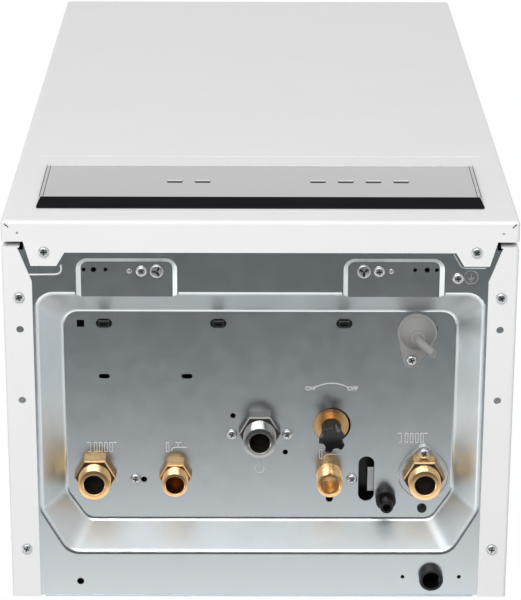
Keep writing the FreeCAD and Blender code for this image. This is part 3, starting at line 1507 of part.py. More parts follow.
def make_gas_train():
    flange_top = floor_top + size.gas_flange_thickness
    lugs = [cylinder(f"gas_flange_lug_{n}", "z", size.gas_lug_radius, (floor_top, flange_top), spot)
            for n, spot in enumerate(gas_screw_spots)]
    bridge = box("gas_flange_bridge", (-size.gas_screw_place, size.gas_screw_place),
                 (-size.gas_screw_row - size.gas_lug_radius, -size.gas_screw_row + size.gas_lug_radius),
                 (floor_top, flange_top))
    socket = cylinder("gas_socket", "z", large_stub + size.screw_clearance,
                      (floor_top, floor_top + size.fitting_socket), gas_centre)
    riser = cylinder("gas_riser", "z", large_stub + size.socket_wall, (floor_top, size.gas_valve_low),
                     gas_centre)
    holes = [cylinder(f"gas_flange_hole_{n}", "z", screw_hole, (floor_top, flange_top), spot)
             for n, spot in enumerate(gas_screw_spots)]
    cut("gas_inlet_pipe", fuse("gas_inlet_solid", bridge, *lugs, riser), socket, *holes)
    half = size.gas_valve_half_width
    valve_front = -size.gas_row - size.gas_valve_depth / 2
    valve = box("gas_valve_block", (-half, half), (valve_front, valve_front + size.gas_valve_depth),
                (size.gas_valve_low, size.gas_valve_high))
    coils = [cylinder(f"gas_valve_coil_{n}", "y", size.gas_valve_coil,
                      (valve_front - size.gas_valve_coil, valve_front),
                      (half / 2 * side, (size.gas_valve_low + size.gas_valve_high) / 2))
             for n, side in enumerate(SIDES.values())]
    fuse("gas_valve", valve, *coils)
    tube("gas_supply_pipe", size.pipe_radius, (
        (0, -size.gas_row, size.gas_valve_high), (0, -size.gas_row, gas_turn_height),
        (0, -manifold_row, gas_turn_height),
        (0, -manifold_row, size.manifold_height - size.manifold_radius)), size.pipe_bend)


def make_chamber():
    sheet_metal = size.frame_sheet
    outer = inner_half - sheet_metal
    front = -chamber_front
    rear = -size.chamber_rear
    shell = box("chamber_shell", (-outer, outer), (front, rear), (size.chamber_low, top_low))
    hollow = box("chamber_hollow", (-outer + sheet_metal, outer - sheet_metal),
                 (front - sheet_metal, rear - sheet_metal), (chamber_floor, top_low - sheet_metal))
    opening = cylinder("chamber_opening", "z", size.collar_radius - size.collar_wall,
                       (top_low - sheet_metal * 2, top_low), (0, -fan_row))
    pipe_hole = size.pipe_radius + size.seat_clearance
    holes = [cylinder(f"chamber_pipe_hole_{n}", "z", pipe_hole, (size.chamber_low, chamber_floor), spot)
             for n, spot in enumerate(((-pipe_place, -size.fitting_row), (pipe_place, -size.fitting_row),
                                       (as_size(0), -manifold_row)))]
    cut("sealed_chamber", shell, hollow, opening, *holes)
    box("chamber_front_plate", (-outer, outer), (front - sheet_metal, front), (size.chamber_low, top_low))


def make_burner():
    body = new_body("burner")
    half = burner_half_width
    blade = new_sketch(body, "burner_blade", "XZ", -size.burner_rear)
    draw_rectangle(blade, (-half, -half + size.blade_thickness), (size.blade_low, size.burner_high))
    first = pad(body, blade, burner_front - size.burner_rear)
    span = half * 2 - size.blade_thickness
    count = int(span.value / size.blade_pitch.value) + 1
    add_feature(body, "LinearPattern", "burner_blades", Originals=[first], Direction=(blade, ["H_Axis"]),
                Length=span, Occurrences=count)
    rails = new_sketch(body, "burner_rails", "XY", size.blade_low)
    for row in (-burner_front, -size.burner_rear - size.burner_side):
        draw_rectangle(rails, (-half, half), (row, row + size.burner_side))
    pad(body, rails, size.rail_height)
    ends = new_sketch(body, "burner_ends", "XY", chamber_floor)
    for side in SIDES.values():
        draw_rectangle(ends, (half * side, (half + size.firebox_wall) * side),
                       (-burner_front, -size.burner_rear))
    pad(body, ends, size.burner_high - chamber_floor)


def make_gas_manifold():
    half = burner_half_width
    rail = cylinder("manifold_rail", "x", size.manifold_radius, (-half, half),
                    (-manifold_row, size.manifold_height))
    spigot = cylinder("manifold_spigot", "z", size.pipe_radius,
                      (size.manifold_height - size.manifold_radius, size.manifold_height),
                      (as_size(0), -manifold_row))
    nozzles = []
    span = half * 2 - size.blade_thickness
    count = int(span.value / size.blade_pitch.value) + 1
    for number in range(count):
        x = -half + size.blade_thickness / 2 + span / (count - 1) * number
        nozzles.append(cylinder(f"manifold_nozzle_{number}", "y", size.nozzle_radius,
                                (-manifold_row, -burner_front), (x, size.manifold_height)))
    fuse("gas_manifold", rail, spigot, *nozzles)


def make_electrodes():
    rods = []
    row = -burner_front - size.electrode_radius - size.seat_clearance
    low = size.blade_low + size.rail_height
    for name, side in SIDES.items():
        x = size.blade_pitch * 1.5 * side
        rods.append(cylinder(name + "_electrode", "z", size.electrode_radius, (low + size.manifold_radius,
                    low + size.manifold_radius + size.electrode_length), (x, row)))
    gather("ignition_electrodes", rods)


def make_firebox():
    body = new_body("combustion_firebox")
    outer = burner_half_width + size.firebox_wall
    outline = new_sketch(body, "firebox_outline", "XY", size.burner_high)
    draw_rectangle(outline, (-outer, outer), (-burner_front, -size.burner_rear))
    draw_rectangle(outline, (-burner_half_width, burner_half_width),
                   (-burner_front + size.firebox_wall, -size.burner_rear - size.firebox_wall))
    pad(body, outline, firebox_high - size.burner_high)


def make_heat_exchanger():
    body = new_body("primary_heat_exchanger")
    outer = burner_half_width + size.firebox_wall
    block = new_sketch(body, "fin_block", "XY", firebox_high)
    draw_rectangle(block, (-outer, outer), (-burner_front, -size.burner_rear))
    pad(body, block, size.fin_block_height)
    headers = new_sketch(body, "exchanger_headers", "XZ", -size.burner_rear)
    for side in SIDES.values():
        draw_rectangle(headers, (outer * side, header_face * side),
                       (header_height - size.header_depth, header_height + size.header_depth))
    pad(body, headers, burner_front - size.burner_rear)
    gap = new_sketch(body, "fin_gap_outline", "XY", firebox_high)
    start = -burner_half_width
    wall = size.firebox_wall / 2
    draw_rectangle(gap, (start, start + size.fin_gap), (-burner_front + wall, -size.burner_rear - wall))
    first = pocket(body, gap, size.fin_block_height * 2, Reversed=True)
    span = burner_half_width * 2 - size.fin_gap
    count = int(span.value / size.fin_pitch.value) + 1
    add_feature(body, "LinearPattern", "fin_gaps", Originals=[first], Direction=(gap, ["H_Axis"]),
                Length=span, Occurrences=count)
    tubes = new_sketch(body, "water_tubes", "YZ", 0)
    for number in range(5):
        row = -burner_front + (burner_front - size.burner_rear) / 6 * (number + 1)
        draw_circle(tubes, (row, header_height), size.water_tube_radius)
    pad(body, tubes, outer * 2, SideType="Symmetric")


def make_flue_hood():
    body = new_body("flue_hood")
    outer = burner_half_width + size.firebox_wall
    middle = -(burner_front + size.burner_rear) / 2
    wall = size.frame_sheet
    neck = size.hood_neck_half
    skins = (("AdditiveLoft", "hood_outside", as_size(0), hood_low, hood_high),
             ("SubtractiveLoft", "hood_inside", wall, hood_low, hood_high - wall))
    for kind, name, inset, low, high in skins:
        skirt = new_sketch(body, name + "_skirt", "XY", low)
        draw_rectangle(skirt, (-outer + inset, outer - inset),
                       (-burner_front + inset, -size.burner_rear - inset))
        crown = new_sketch(body, name + "_crown", "XY", high)
        draw_rectangle(crown, (-size.fan_shift - neck + inset, -size.fan_shift + neck - inset),
                       (middle - neck + inset, middle + neck - inset))
        loft(body, kind, name, skirt, crown)
    inlet = new_sketch(body, "hood_inlet", "XY", hood_high)
    draw_circle(inlet, (-size.fan_shift, -fan_row), size.wheel_radius / 2)
    punch(body, inlet)


def make_fan():
    centre = (-size.fan_shift, fan_height)
    back = -fan_row + size.fan_depth / 2
    front = -fan_row - size.fan_depth / 2
    wall = size.fan_wall
    duct = (-size.flue_radius, size.flue_radius)
    spigot_top = size.case_height + size.flue_rise
    scroll = cylinder("fan_scroll", "y", size.fan_radius, (front, back), centre)
    outlet = box("fan_outlet", duct, (front, back), (fan_height, fan_height + size.fan_radius))
    foot = box("fan_foot", (-size.fan_shift - size.fan_radius / 2, -size.fan_shift + size.fan_radius / 2),
               (front, back), (hood_high, fan_height))
    spigot = cylinder("fan_spigot", "z", size.flue_radius, (fan_height, spigot_top), (as_size(0), -fan_row))
    solid = fuse("fan_solid", scroll, outlet, foot, spigot)
    cavity = cylinder("fan_cavity", "y", size.wheel_radius + size.wheel_gap,
                      (front + wall, back - wall), centre)
    passage = box("fan_passage", (duct[0] + wall, duct[1] - wall), (front + wall, back - wall),
                  (fan_height + wall, fan_height + size.fan_radius - wall))
    bore = cylinder("fan_bore", "z", size.flue_radius - wall, (fan_height + wall, spigot_top),
                    (as_size(0), -fan_row))
    inlet = cylinder("fan_inlet", "z", size.wheel_radius / 2, (hood_high, fan_height),
                     (-size.fan_shift, -fan_row))
    shaft_hole = cylinder("fan_shaft_hole", "y", size.shaft_radius + size.seat_clearance,
                          (front, front + wall), centre)
    cut("fan_housing", solid, cavity, passage, bore, inlet, shaft_hole)
    motor_front = front - size.fan_motor_length
    can = cylinder("fan_motor_can", "y", size.fan_motor_radius, (motor_front, front), centre)
    bearing = cylinder("fan_motor_bearing", "y", size.shaft_radius + size.seat_clearance,
                       (front - size.shaft_reach - size.seat_clearance, front), centre)
    cut("fan_motor", can, bearing)
    make_fan_wheel(centre, front)


def make_fan_wheel(centre, housing_front):
    body = new_body("fan_wheel")
    wheel_back = -fan_row + size.wheel_width / 2
    disc = new_sketch(body, "wheel_disc", "XZ", wheel_back)
    draw_circle(disc, (0, 0), size.wheel_radius)
    pad(body, disc, size.wheel_blade)
    blade = new_sketch(body, "wheel_blade_outline", "XZ", wheel_back)
    root = size.wheel_radius - size.wheel_blade_length
    draw_loop(blade, [(root, 0), (size.wheel_radius - 1, size.wheel_blade_length / 2),
                      (size.wheel_radius - 1, size.wheel_blade_length / 2 + size.wheel_blade),
                      (root, size.wheel_blade)])
    first = pad(body, blade, size.wheel_width)
    add_feature(body, "PolarPattern", "wheel_ring_of_blades", Originals=[first], Axis=(blade, ["N_Axis"]),
                Angle=360, Occurrences=int(size.wheel_blades.value))
    ring = new_sketch(body, "wheel_ring", "XZ", wheel_back - size.wheel_width + size.wheel_blade)
    draw_circle(ring, (0, 0), size.wheel_radius)
    draw_circle(ring, (0, 0), root + size.wheel_blade)
    pad(body, ring, size.wheel_blade)
    shaft = new_sketch(body, "wheel_shaft", "XZ", wheel_back)
    draw_circle(shaft, (0, 0), size.shaft_radius)
    pad(body, shaft, wheel_back - housing_front + size.shaft_reach)
    place(body, centre[0], 0, centre[1])


def make_flue_collar():
    top = size.case_height
    inner = size.collar_radius - size.collar_wall
    turn_piece("flue_collar", (0, -fan_row), [
        (inner, top), (size.collar_radius + size.collar_flange, top),
        (size.collar_radius + size.collar_flange, top + size.collar_wall),
        (size.collar_radius, top + size.collar_wall), (size.collar_radius, top + size.collar_height),
        (inner, top + size.collar_height)])


def make_pressure_switch():
    wall = inner_half - size.frame_sheet * 2
    centre = (-fan_row, fan_height)
    disc = cylinder("switch_disc", "x", size.switch_radius, (wall - size.switch_depth, wall), centre)
    nipple = cylinder("switch_nipple", "x", size.nipple_radius,
                      (wall - size.switch_depth * 1.6, wall - size.switch_depth), centre)
    fuse("air_pressure_switch", disc, nipple)


# Build, check and write

make_front_cover()
for name, side in SIDES.items():
    make_side_panel(name + "_side_panel", side)
make_rear_frame()
make_top_plate()
make_bottom_tray()
make_screws()
make_fitting("heating_flow_fitting", (-flow_place, -size.fitting_row), size.large_thread, size.large_bore,
             size.large_hex, size.fitting_reach, floor_low)
make_fitting("hot_water_fitting", (-hot_place, -size.fitting_row), size.small_thread, size.small_bore,
             size.small_hex, size.fitting_reach, floor_low)
make_fitting("gas_fitting", gas_centre, size.large_thread, size.large_bore, size.large_hex, size.gas_reach,
             floor_low)
make_fitting("cold_water_fitting", (cold_place, -size.fitting_row), size.small_thread, size.small_bore,
             None, size.fitting_reach, floor_low)
make_fitting("heating_return_fitting", return_centre, size.large_thread, size.large_bore, size.large_hex,
             size.fitting_reach, floor_low - size.plate_thickness)
make_return_plate()
make_filling_valve()
make_drain_valve()
make_snap_studs()
make_cable_gland()
make_tray_plug()
make_cable_grommet()
make_cable_clips()
make_control_panel()
for key, x in KEYS.items():
    make_key(key, x)
make_display_module()
make_control_box()
make_flow_block()
make_return_block()
make_plate_exchanger()
make_pump()
make_safety_valve()
make_diverter_motor()
make_expansion_vessel()
make_vessel_hose()
make_water_pipes()
make_gas_train()
make_chamber()
make_burner()
make_gas_manifold()
make_electrodes()
make_firebox()
make_heat_exchanger()
make_flue_hood()
make_fan()
make_flue_collar()
make_pressure_switch()
doc.recompute()

for item in doc.Objects:
    if any(state in ("Invalid", "Error") for state in item.State):
        raise RuntimeError(f"{item.Label} failed")

# A finished sub-part is one that no other object uses
nodes = [item for item in doc.Objects if hasattr(item, "Shape") and item.isDerivedFrom("Part::Feature")
         and not item.isDerivedFrom("Part::Part2DObject")
         and not [user for user in item.InList if user.isDerivedFrom("Part::Feature")]]
os.makedirs("parts", exist_ok=True)
for node in nodes:
    if node.Shape.isNull() or not node.Shape.isValid():
        raise RuntimeError(f"{node.Label} has no valid shape")
for node in nodes:
    node.Shape.exportStep(f"parts/{node.Label}.step")
print(len(nodes), "sub-parts written")
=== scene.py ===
import json
import math
import bpy
from mathutils import Matrix, Vector


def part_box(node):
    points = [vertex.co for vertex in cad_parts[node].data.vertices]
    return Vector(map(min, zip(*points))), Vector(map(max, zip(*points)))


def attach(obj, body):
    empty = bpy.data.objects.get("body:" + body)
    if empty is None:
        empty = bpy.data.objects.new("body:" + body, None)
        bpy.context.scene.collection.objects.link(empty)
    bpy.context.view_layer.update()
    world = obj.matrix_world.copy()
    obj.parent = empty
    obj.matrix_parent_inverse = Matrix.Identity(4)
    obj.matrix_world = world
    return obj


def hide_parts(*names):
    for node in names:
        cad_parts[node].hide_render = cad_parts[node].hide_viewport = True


# Wall-hung gas boiler seen from below, in metres: x to the right, y into the wall, z up

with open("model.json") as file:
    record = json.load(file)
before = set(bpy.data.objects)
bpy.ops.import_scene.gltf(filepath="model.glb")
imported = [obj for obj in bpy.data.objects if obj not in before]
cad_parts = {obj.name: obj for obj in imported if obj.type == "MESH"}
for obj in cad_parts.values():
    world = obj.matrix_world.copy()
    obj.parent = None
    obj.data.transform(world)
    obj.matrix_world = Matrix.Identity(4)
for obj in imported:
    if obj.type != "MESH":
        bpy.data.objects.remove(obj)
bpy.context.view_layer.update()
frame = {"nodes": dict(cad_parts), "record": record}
mm = 0.001
print("frame loaded:", len(frame["nodes"]), "nodes")


def hexColor(code):
    channels = [int(code[place:place + 2], 16) / 255 for place in (1, 3, 5)]
    return [c / 12.92 if c <= 0.04045 else ((c + 0.055) / 1.055) ** 2.4 for c in channels] + [1.0]


def addNode(tree, kind, settings, inputs):
    made = tree.nodes.new(kind)
    for name, value in settings.items():
        setattr(made, name, value)
    for name, value in inputs.items():
        if isinstance(value, bpy.types.NodeSocket):
            tree.links.new(value, made.inputs[name])
        else:
            made.inputs[name].default_value = value
    return made


# Finishes: low and high are the two ends of the colour drift, grain the size of its patches in mm, stretch
# squeezes the grain along x, y and z, rough gives the two ends of the roughness, relief the bump in mm and
# drawn the extra roughness of upright walls; lines of turning and brushing are drawn coarse enough to show
finishes = {
    "powderCoatWhite": dict(low="#E2E2E2", high="#E9E9E9", grain=1.1, rough=(0.40, 0.46), relief=0.006,
                            ior=1.5),  # sprayed polyester, a faint orange peel in its shine
    "galvanisedSheet": dict(low="#C4CACD", high="#C9CFD2", grain=14, rough=(0.21, 0.24), metallic=1,
                            drawn=0.2),  # hot-dipped zinc, a soft mirror, duller where the press drew it
    "turnedBrass": dict(low="#D6AA74", high="#EAC594", grain=0.7, stretch=(0.02, 0.02, 1), relief=0.006,
                        rough=(0.22, 0.30), metallic=1),  # bar brass off the lathe, lines round its axis
    "brightNickel": dict(low="#8F8E8C", high="#A8A7A5", grain=0.7, stretch=(0.02, 0.02, 1), relief=0.004,
                         rough=(0.16, 0.24), metallic=1),  # nickel plate over turned steel, bright and warm
    "brightZinc": dict(low="#ABAEAF", high="#CDD0D1", grain=1.5, rough=(0.26, 0.36), relief=0.003,
                       metallic=1),  # barrel-plated screws, clean with small dull spots
    "blackNylon": dict(low="#070708", high="#0C0C0D", grain=0.6, rough=(0.26, 0.36), relief=0.008,
                       ior=1.4),  # moulded nylon, a fine spark-eroded grain
    "blackAcrylic": dict(low="#212123", high="#252528", grain=60, rough=(0.03, 0.05), ior=1.5,
                         coat=0.6),  # polished acrylic, a clean mirror at a low angle
    "greyRubber": dict(low="#7D7C7A", high="#8C8B89", grain=0.8, rough=(0.6, 0.75), relief=0.02,
                       ior=1.52),  # moulded rubber, dull with a dusty bloom
    "redEnamel": dict(low="#A5120F", high="#B91A14", grain=1.2, rough=(0.2, 0.3), relief=0.01,
                      ior=1.5),  # dipped enamel, glossy with an orange peel
    "drawnCopper": dict(low="#B4704E", high="#C88762", grain=1.0, stretch=(1, 1, 0.03), rough=(0.22, 0.35),
                        relief=0.004, metallic=1),  # drawn pipe, faint lines along its run
    "stainlessSheet": dict(low="#9FA1A2", high="#B4B6B7", grain=0.8, stretch=(0.03, 1, 1), rough=(0.25, 0.4),
                           relief=0.004, metallic=1),  # rolled stainless, brushed along the sheet
    "castAluminium": dict(low="#A6A8AA", high="#B8BABC", grain=1.4, rough=(0.4, 0.55), relief=0.04,
                          metallic=1),  # die cast, a matt skin with fine pits
    "greyPlastic": dict(low="#4A4C4E", high="#56585A", grain=0.8, rough=(0.45, 0.6), relief=0.02,
                        ior=1.5),  # moulded housing plastic, an even matt grain
    "boardGreen": dict(low="#0E4A28", high="#165A33", grain=2.0, rough=(0.25, 0.4), relief=0.01,
                       ior=1.5),  # solder mask over copper, glossy green
    "blackRubber": dict(low="#151515", high="#202020", grain=0.9, rough=(0.6, 0.75), relief=0.03,
                        ior=1.52),  # hose rubber, dull
    "paintedDeepShade": dict(low="#17130D", high="#241B10", grain=2.0, rough=(0.5, 0.7),
                         ior=1.45),  # painted shade deep in a bore or gap, brown-black and dull
    "brownWaterway": dict(low="#6E4320", high="#8A5A2C", grain=1.2, stretch=(1, 1, 0.05), rough=(0.35, 0.5),
                          metallic=1),  # drawn bore of the hot outlet, orange-brown with streaks along it
    "seamShadow": dict(low="#3A3A3C", high="#4A4A4C", grain=2.0, rough=(0.6, 0.7),
                       ior=1.45),  # painted shade in a gap or recess, dark grey and dull
    "paintedRidgeHighlight": dict(low="#C6CACA", high="#D8DBDB", grain=2.0, rough=(0.35, 0.45),
                          ior=1.5),  # painted highlight on the crest of a pressed sign, pale
    "whiteCeramic": dict(low="#DAD6CC", high="#E6E2D8", grain=3.0, rough=(0.12, 0.2), relief=0.004,
                         ior=1.55),  # glazed insulator, glossy off-white
}
# How the grain and a slow drift, its patches in mm, are blended, and where a wall counts as level or upright
patternSetup = dict(grainDetail=3.0, grainRoughness=0.55, driftSize=90, driftDetail=2.0, driftShare=0.5,
                    low=0.45, high=1.05, level=0.99, upright=0.8, coatRoughness=0.03)


def makeFinish(name, look):
    setup = patternSetup
    material = bpy.data.materials.new(name)
    material.use_nodes = True
    tree = material.node_tree
    shader = tree.nodes["Principled BSDF"]
    spot = addNode(tree, "ShaderNodeTexCoord", {}, {}).outputs["Object"]
    grain = addNode(tree, "ShaderNodeMapping", {}, {"Vector": spot, "Scale": look.get("stretch", (1, 1, 1))})
    noise = addNode(tree, "ShaderNodeTexNoise", {}, {
        "Vector": grain.outputs["Vector"], "Scale": 1 / (look["grain"] * mm),
        "Detail": setup["grainDetail"], "Roughness": setup["grainRoughness"]})
    drift = addNode(tree, "ShaderNodeTexNoise", {}, {
        "Vector": spot, "Scale": 1 / (setup["driftSize"] * mm), "Detail": setup["driftDetail"]})
    blend = addNode(tree, "ShaderNodeMath", {"operation": "MULTIPLY_ADD"}, {
        0: drift.outputs["Fac"], 1: setup["driftShare"], 2: noise.outputs["Fac"]})
    span = {"Value": blend.outputs["Value"], "From Min": setup["low"], "From Max": setup["high"]}
    share = addNode(tree, "ShaderNodeMapRange", {}, span)
    tint = addNode(tree, "ShaderNodeMix", {"data_type": "RGBA"}, {
        "Factor": share.outputs["Result"], "A": hexColor(look["low"]), "B": hexColor(look["high"])})
    tree.links.new(tint.outputs["Result"], shader.inputs["Base Color"])
    dull = addNode(tree, "ShaderNodeMapRange", {}, {
        **span, "To Min": look["rough"][0], "To Max": look["rough"][1]})
    gloss = dull.outputs["Result"]
    if "drawn" in look:  # upright walls are scuffed by the press tool
        facing = addNode(tree, "ShaderNodeNewGeometry", {}, {})
        parts = addNode(tree, "ShaderNodeSeparateXYZ", {}, {"Vector": facing.outputs["Normal"]})
        level = addNode(tree, "ShaderNodeMath", {"operation": "ABSOLUTE"}, {0: parts.outputs["Z"]})
        scuff = addNode(tree, "ShaderNodeMapRange", {}, {
            "Value": level.outputs["Value"], "From Min": setup["level"], "From Max": setup["upright"],
            "To Max": look["drawn"]})
        gloss = addNode(tree, "ShaderNodeMath", {}, {0: gloss, 1: scuff.outputs["Result"]}).outputs["Value"]
    tree.links.new(gloss, shader.inputs["Roughness"])
    if "relief" in look:
        bump = addNode(tree, "ShaderNodeBump", {}, {
            "Height": noise.outputs["Fac"], "Distance": look["relief"] * mm, "Strength": 1.0})
        tree.links.new(bump.outputs["Normal"], shader.inputs["Normal"])
    shader.inputs["Metallic"].default_value = look.get("metallic", 0)
    if "ior" in look:
        shader.inputs["IOR"].default_value = look["ior"]
    if "coat" in look:
        shader.inputs["Coat Weight"].default_value = look["coat"]
        shader.inputs["Coat Roughness"].default_value = setup["coatRoughness"]
    return material


finish = {name: makeFinish(name, look) for name, look in finishes.items()}
print("finishes made:", len(finish))

# Which finish each slot of the record gets
slotFinish = {
    "white_enamel": "powderCoatWhite", "galvanised_steel": "galvanisedSheet", "brass": "turnedBrass",
    "nickel_plate": "brightNickel", "zinc_plate": "brightZinc", "black_plastic": "blackNylon",
    "black_gloss": "blackAcrylic", "grey_rubber": "greyRubber", "red_enamel": "redEnamel",
    "copper": "drawnCopper", "steel": "stainlessSheet", "cast_aluminium": "castAluminium",
    "grey_plastic": "greyPlastic", "circuit_green": "boardGreen", "black_rubber": "blackRubber",
    "white_ceramic": "whiteCeramic"}
for row in frame["record"]["subparts"]:
    node = frame["nodes"][row["node"]]
    node.data.materials.clear()
    node.data.materials.append(finish[slotFinish[row["material_slot"]]])
print("nodes dressed")


def leaveEdit():
    bpy.ops.object.mode_set(mode="OBJECT")


def deselectAll():
    if bpy.context.mode != "OBJECT":
        leaveEdit()
    bpy.ops.object.select_all(action="DESELECT")


def pickOnly(piece):
    deselectAll()
    piece.select_set(True)
    bpy.context.view_layer.objects.active = piece


def addPrimitive(kind, **setup):
    deselectAll()
    getattr(bpy.ops.mesh, f"primitive_{kind}_add")(**setup)
    bpy.ops.object.transform_apply(location=True, rotation=True, scale=True)
    return bpy.context.object


def addRound(radius, low, high, centre=(0, 0), sides=64, turn=0):  # upright, between two heights in mm
    return addPrimitive("cylinder", vertices=sides, radius=radius * mm, depth=(high - low) * mm,
                        location=(centre[0] * mm, centre[1] * mm, (low + high) / 2 * mm),
                        rotation=(0, 0, math.radians(turn)))


def addBlock(low, high):  # a block between two corners, in mm
    middle = [(near + far) / 2 * mm for near, far in zip(low, high)]
    return addPrimitive("cube", size=mm, location=middle, scale=[far - near for near, far in zip(low, high)])


def pickFaces(piece, wanted):  # leaves the piece in edit mode with only those faces selected
    pickOnly(piece)
    bpy.ops.object.mode_set(mode="EDIT")
    bpy.ops.mesh.select_mode(type="FACE")
    bpy.ops.mesh.select_all(action="DESELECT")
    leaveEdit()
    for face in piece.data.polygons:
        face.select = wanted(face)
    bpy.ops.object.mode_set(mode="EDIT")


straight = 0.99  # how squarely a face looks one way, so that no ring of a bevel counts
cutOver = 1.0  # how far a cutter reaches past the face that it cuts, in mm
softSetup = dict(segments=3, angle=40)  # edges sharper than this angle in degrees are rounded
mergeReach = 0.002  # corners closer than this become one, in mm


def facesDown(face):
    return face.normal.z < -straight


def facesUp(face):
    return face.normal.z > straight


def facesFront(face):
    return face.normal.y < -straight


def facesRight(face):
    return face.normal.x > straight


def extrudeBy(x, y, z):  # draws the selected faces out, in mm
    bpy.ops.mesh.extrude_region_move(TRANSFORM_OT_translate={"value": (x * mm, y * mm, z * mm)})


def widenBy(share):  # the selected faces, in x and y
    bpy.ops.transform.resize(value=(share, share, 1))


def bevelFaces(piece, wanted, width, steps):
    pickFaces(piece, wanted)
    bpy.ops.mesh.bevel(offset=width * mm, segments=steps, affect="EDGES")
    leaveEdit()


def joinPieces(pieces):
    deselectAll()
    for piece in pieces:
        piece.select_set(True)
    bpy.context.view_layer.objects.active = pieces[0]
    if len(pieces) > 1:
        bpy.ops.object.join()
    return bpy.context.view_layer.objects.active


def spreadCopies(pattern, spots):  # joined copies, each at its x, y and z in mm and turned by its degrees
    copies = []
    for x, y, z, turn in spots:
        copied = pattern.copy()
        copied.data = pattern.data.copy()
        bpy.context.collection.objects.link(copied)
        turned = Matrix.Rotation(math.radians(turn), 4, "Z")
        copied.data.transform(Matrix.Translation(Vector((x, y, z)) * mm) @ turned)
        copies.append(copied)
    bpy.data.objects.remove(pattern, do_unlink=True)
    return joinPieces(copies)


def cutAway(piece, cutter):
    modifier = piece.modifiers.new("cut", "BOOLEAN")
    modifier.object = cutter
    modifier.solver = "EXACT"
    pickOnly(piece)
    bpy.ops.object.modifier_apply(modifier=modifier.name)
    bpy.data.objects.remove(cutter, do_unlink=True)


def softenEdges(piece, width):
    modifier = piece.modifiers.new("soft", "BEVEL")
    modifier.width = width * mm
    modifier.segments = softSetup["segments"]
    modifier.angle_limit = math.radians(softSetup["angle"])
    pickOnly(piece)
    bpy.ops.object.modifier_apply(modifier=modifier.name)


def makeBar(name, kind, runs, radius, rounding):  # a round bar along each run of points x, y, z in mm
    curve = bpy.data.curves.new(name, "CURVE")
    curve.dimensions = "3D"
    curve.bevel_depth = radius * mm
    curve.bevel_resolution = rounding
    curve.use_fill_caps = True
    for run in runs:
        spline = curve.splines.new(kind)
        spline.points.add(len(run) - 1)
        for point, spot in zip(spline.points, run):
            point.co = (*(Vector(spot) * mm), 1)
        spline.use_endpoint_u = True
        spline.order_u = 3
    bar = bpy.data.objects.new(name, curve)
    bpy.context.collection.objects.link(bar)
    pickOnly(bar)
    bpy.ops.object.convert(target="MESH")
    return bpy.context.object


def dressPiece(piece, name, finishName, body="boiler", replaced=(), smooth=35):
    piece.name = name
    piece.data.name = name
    piece.data.materials.clear()
    piece.data.materials.append(finish[finishName])
    pickOnly(piece)
    bpy.ops.object.mode_set(mode="EDIT")
    bpy.ops.mesh.select_all(action="SELECT")
    bpy.ops.mesh.remove_doubles(threshold=mergeReach * mm)
    bpy.ops.mesh.normals_make_consistent(inside=False)
    leaveEdit()
    bpy.ops.object.shade_smooth_by_angle(angle=math.radians(smooth))
    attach(piece, body)
    if replaced:
        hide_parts(*replaced)


def drawLines(name, runs, line, finishName):  # round lines, by their radius in mm
    dressPiece(makeBar(name, "POLY", runs, line, 2), name, finishName, smooth=60)


def drawFlat(name, strokes, level, line, finishName):  # strokes of points x, y at one level
    drawLines(name, [[(x, y, level) for x, y in stroke] for stroke in strokes], line, finishName)


def ring(x, y, radius, start=0, end=360, steps=28):  # points along an arc, its ends in degrees
    angles = [math.radians(start + (end - start) * step / steps) for step in range(steps + 1)]
    return [(x + radius * math.cos(angle), y + radius * math.sin(angle)) for angle in angles]


# Undersides of the sheet metal and of what lies on it, and the panel's front, in mm
flangeLevel = 0.0
trayLevel = 1.0
padLevel = trayLevel + 3.0
floorLevel = 25.0
plateLevel = floorLevel - 2.0
grommetLevel = floorLevel - 2.5
panelFace = -326.0
sides = {"left": -1, "right": 1}

# Screws with a rounded pan head and a cross recess, in mm; each is turned some degrees more than the last
# A thin dark cross of painted shade lies on the floor of each cross recess, its thickness given in mm
screwSetup = dict(head=4.4, height=2.4, crown=2.0, crossLength=5.4, crossWidth=1.2, crossDepth=1.3,
                  floorShare=0.75, soil=0.3, shank=1.9, shankStart=-0.2, shankEnd=8.8, shankTip=0.8,
                  turnStep=37)
# Where they sit: x, y and the level of the seat, first those that both sides have
screwSpots = [(side * 168.5, -297.7, flangeLevel) for side in sides.values()]
screwSpots += [(side * 188.8, row, flangeLevel) for side in sides.values() for row in (-260, -43)]
screwSpots += [(side * 93, -280.5, padLevel) for side in sides.values()]
screwSpots += [(side * 22.4, -133.4, floorLevel) for side in sides.values()]
screwSpots += [(-100.8, -94, floorLevel), (75.3, -94, floorLevel), (154.5, -276, trayLevel),
               (133.5, -117.5, plateLevel), (121.4, -199, grommetLevel)]


def addCross(length, height, level):  # two crossing bars about a level
    width = screwSetup["crossWidth"]
    return [addPrimitive("cube", size=mm, location=(0, 0, level * mm), scale=(*spread, height))
            for spread in ((width, length), (length, width))]


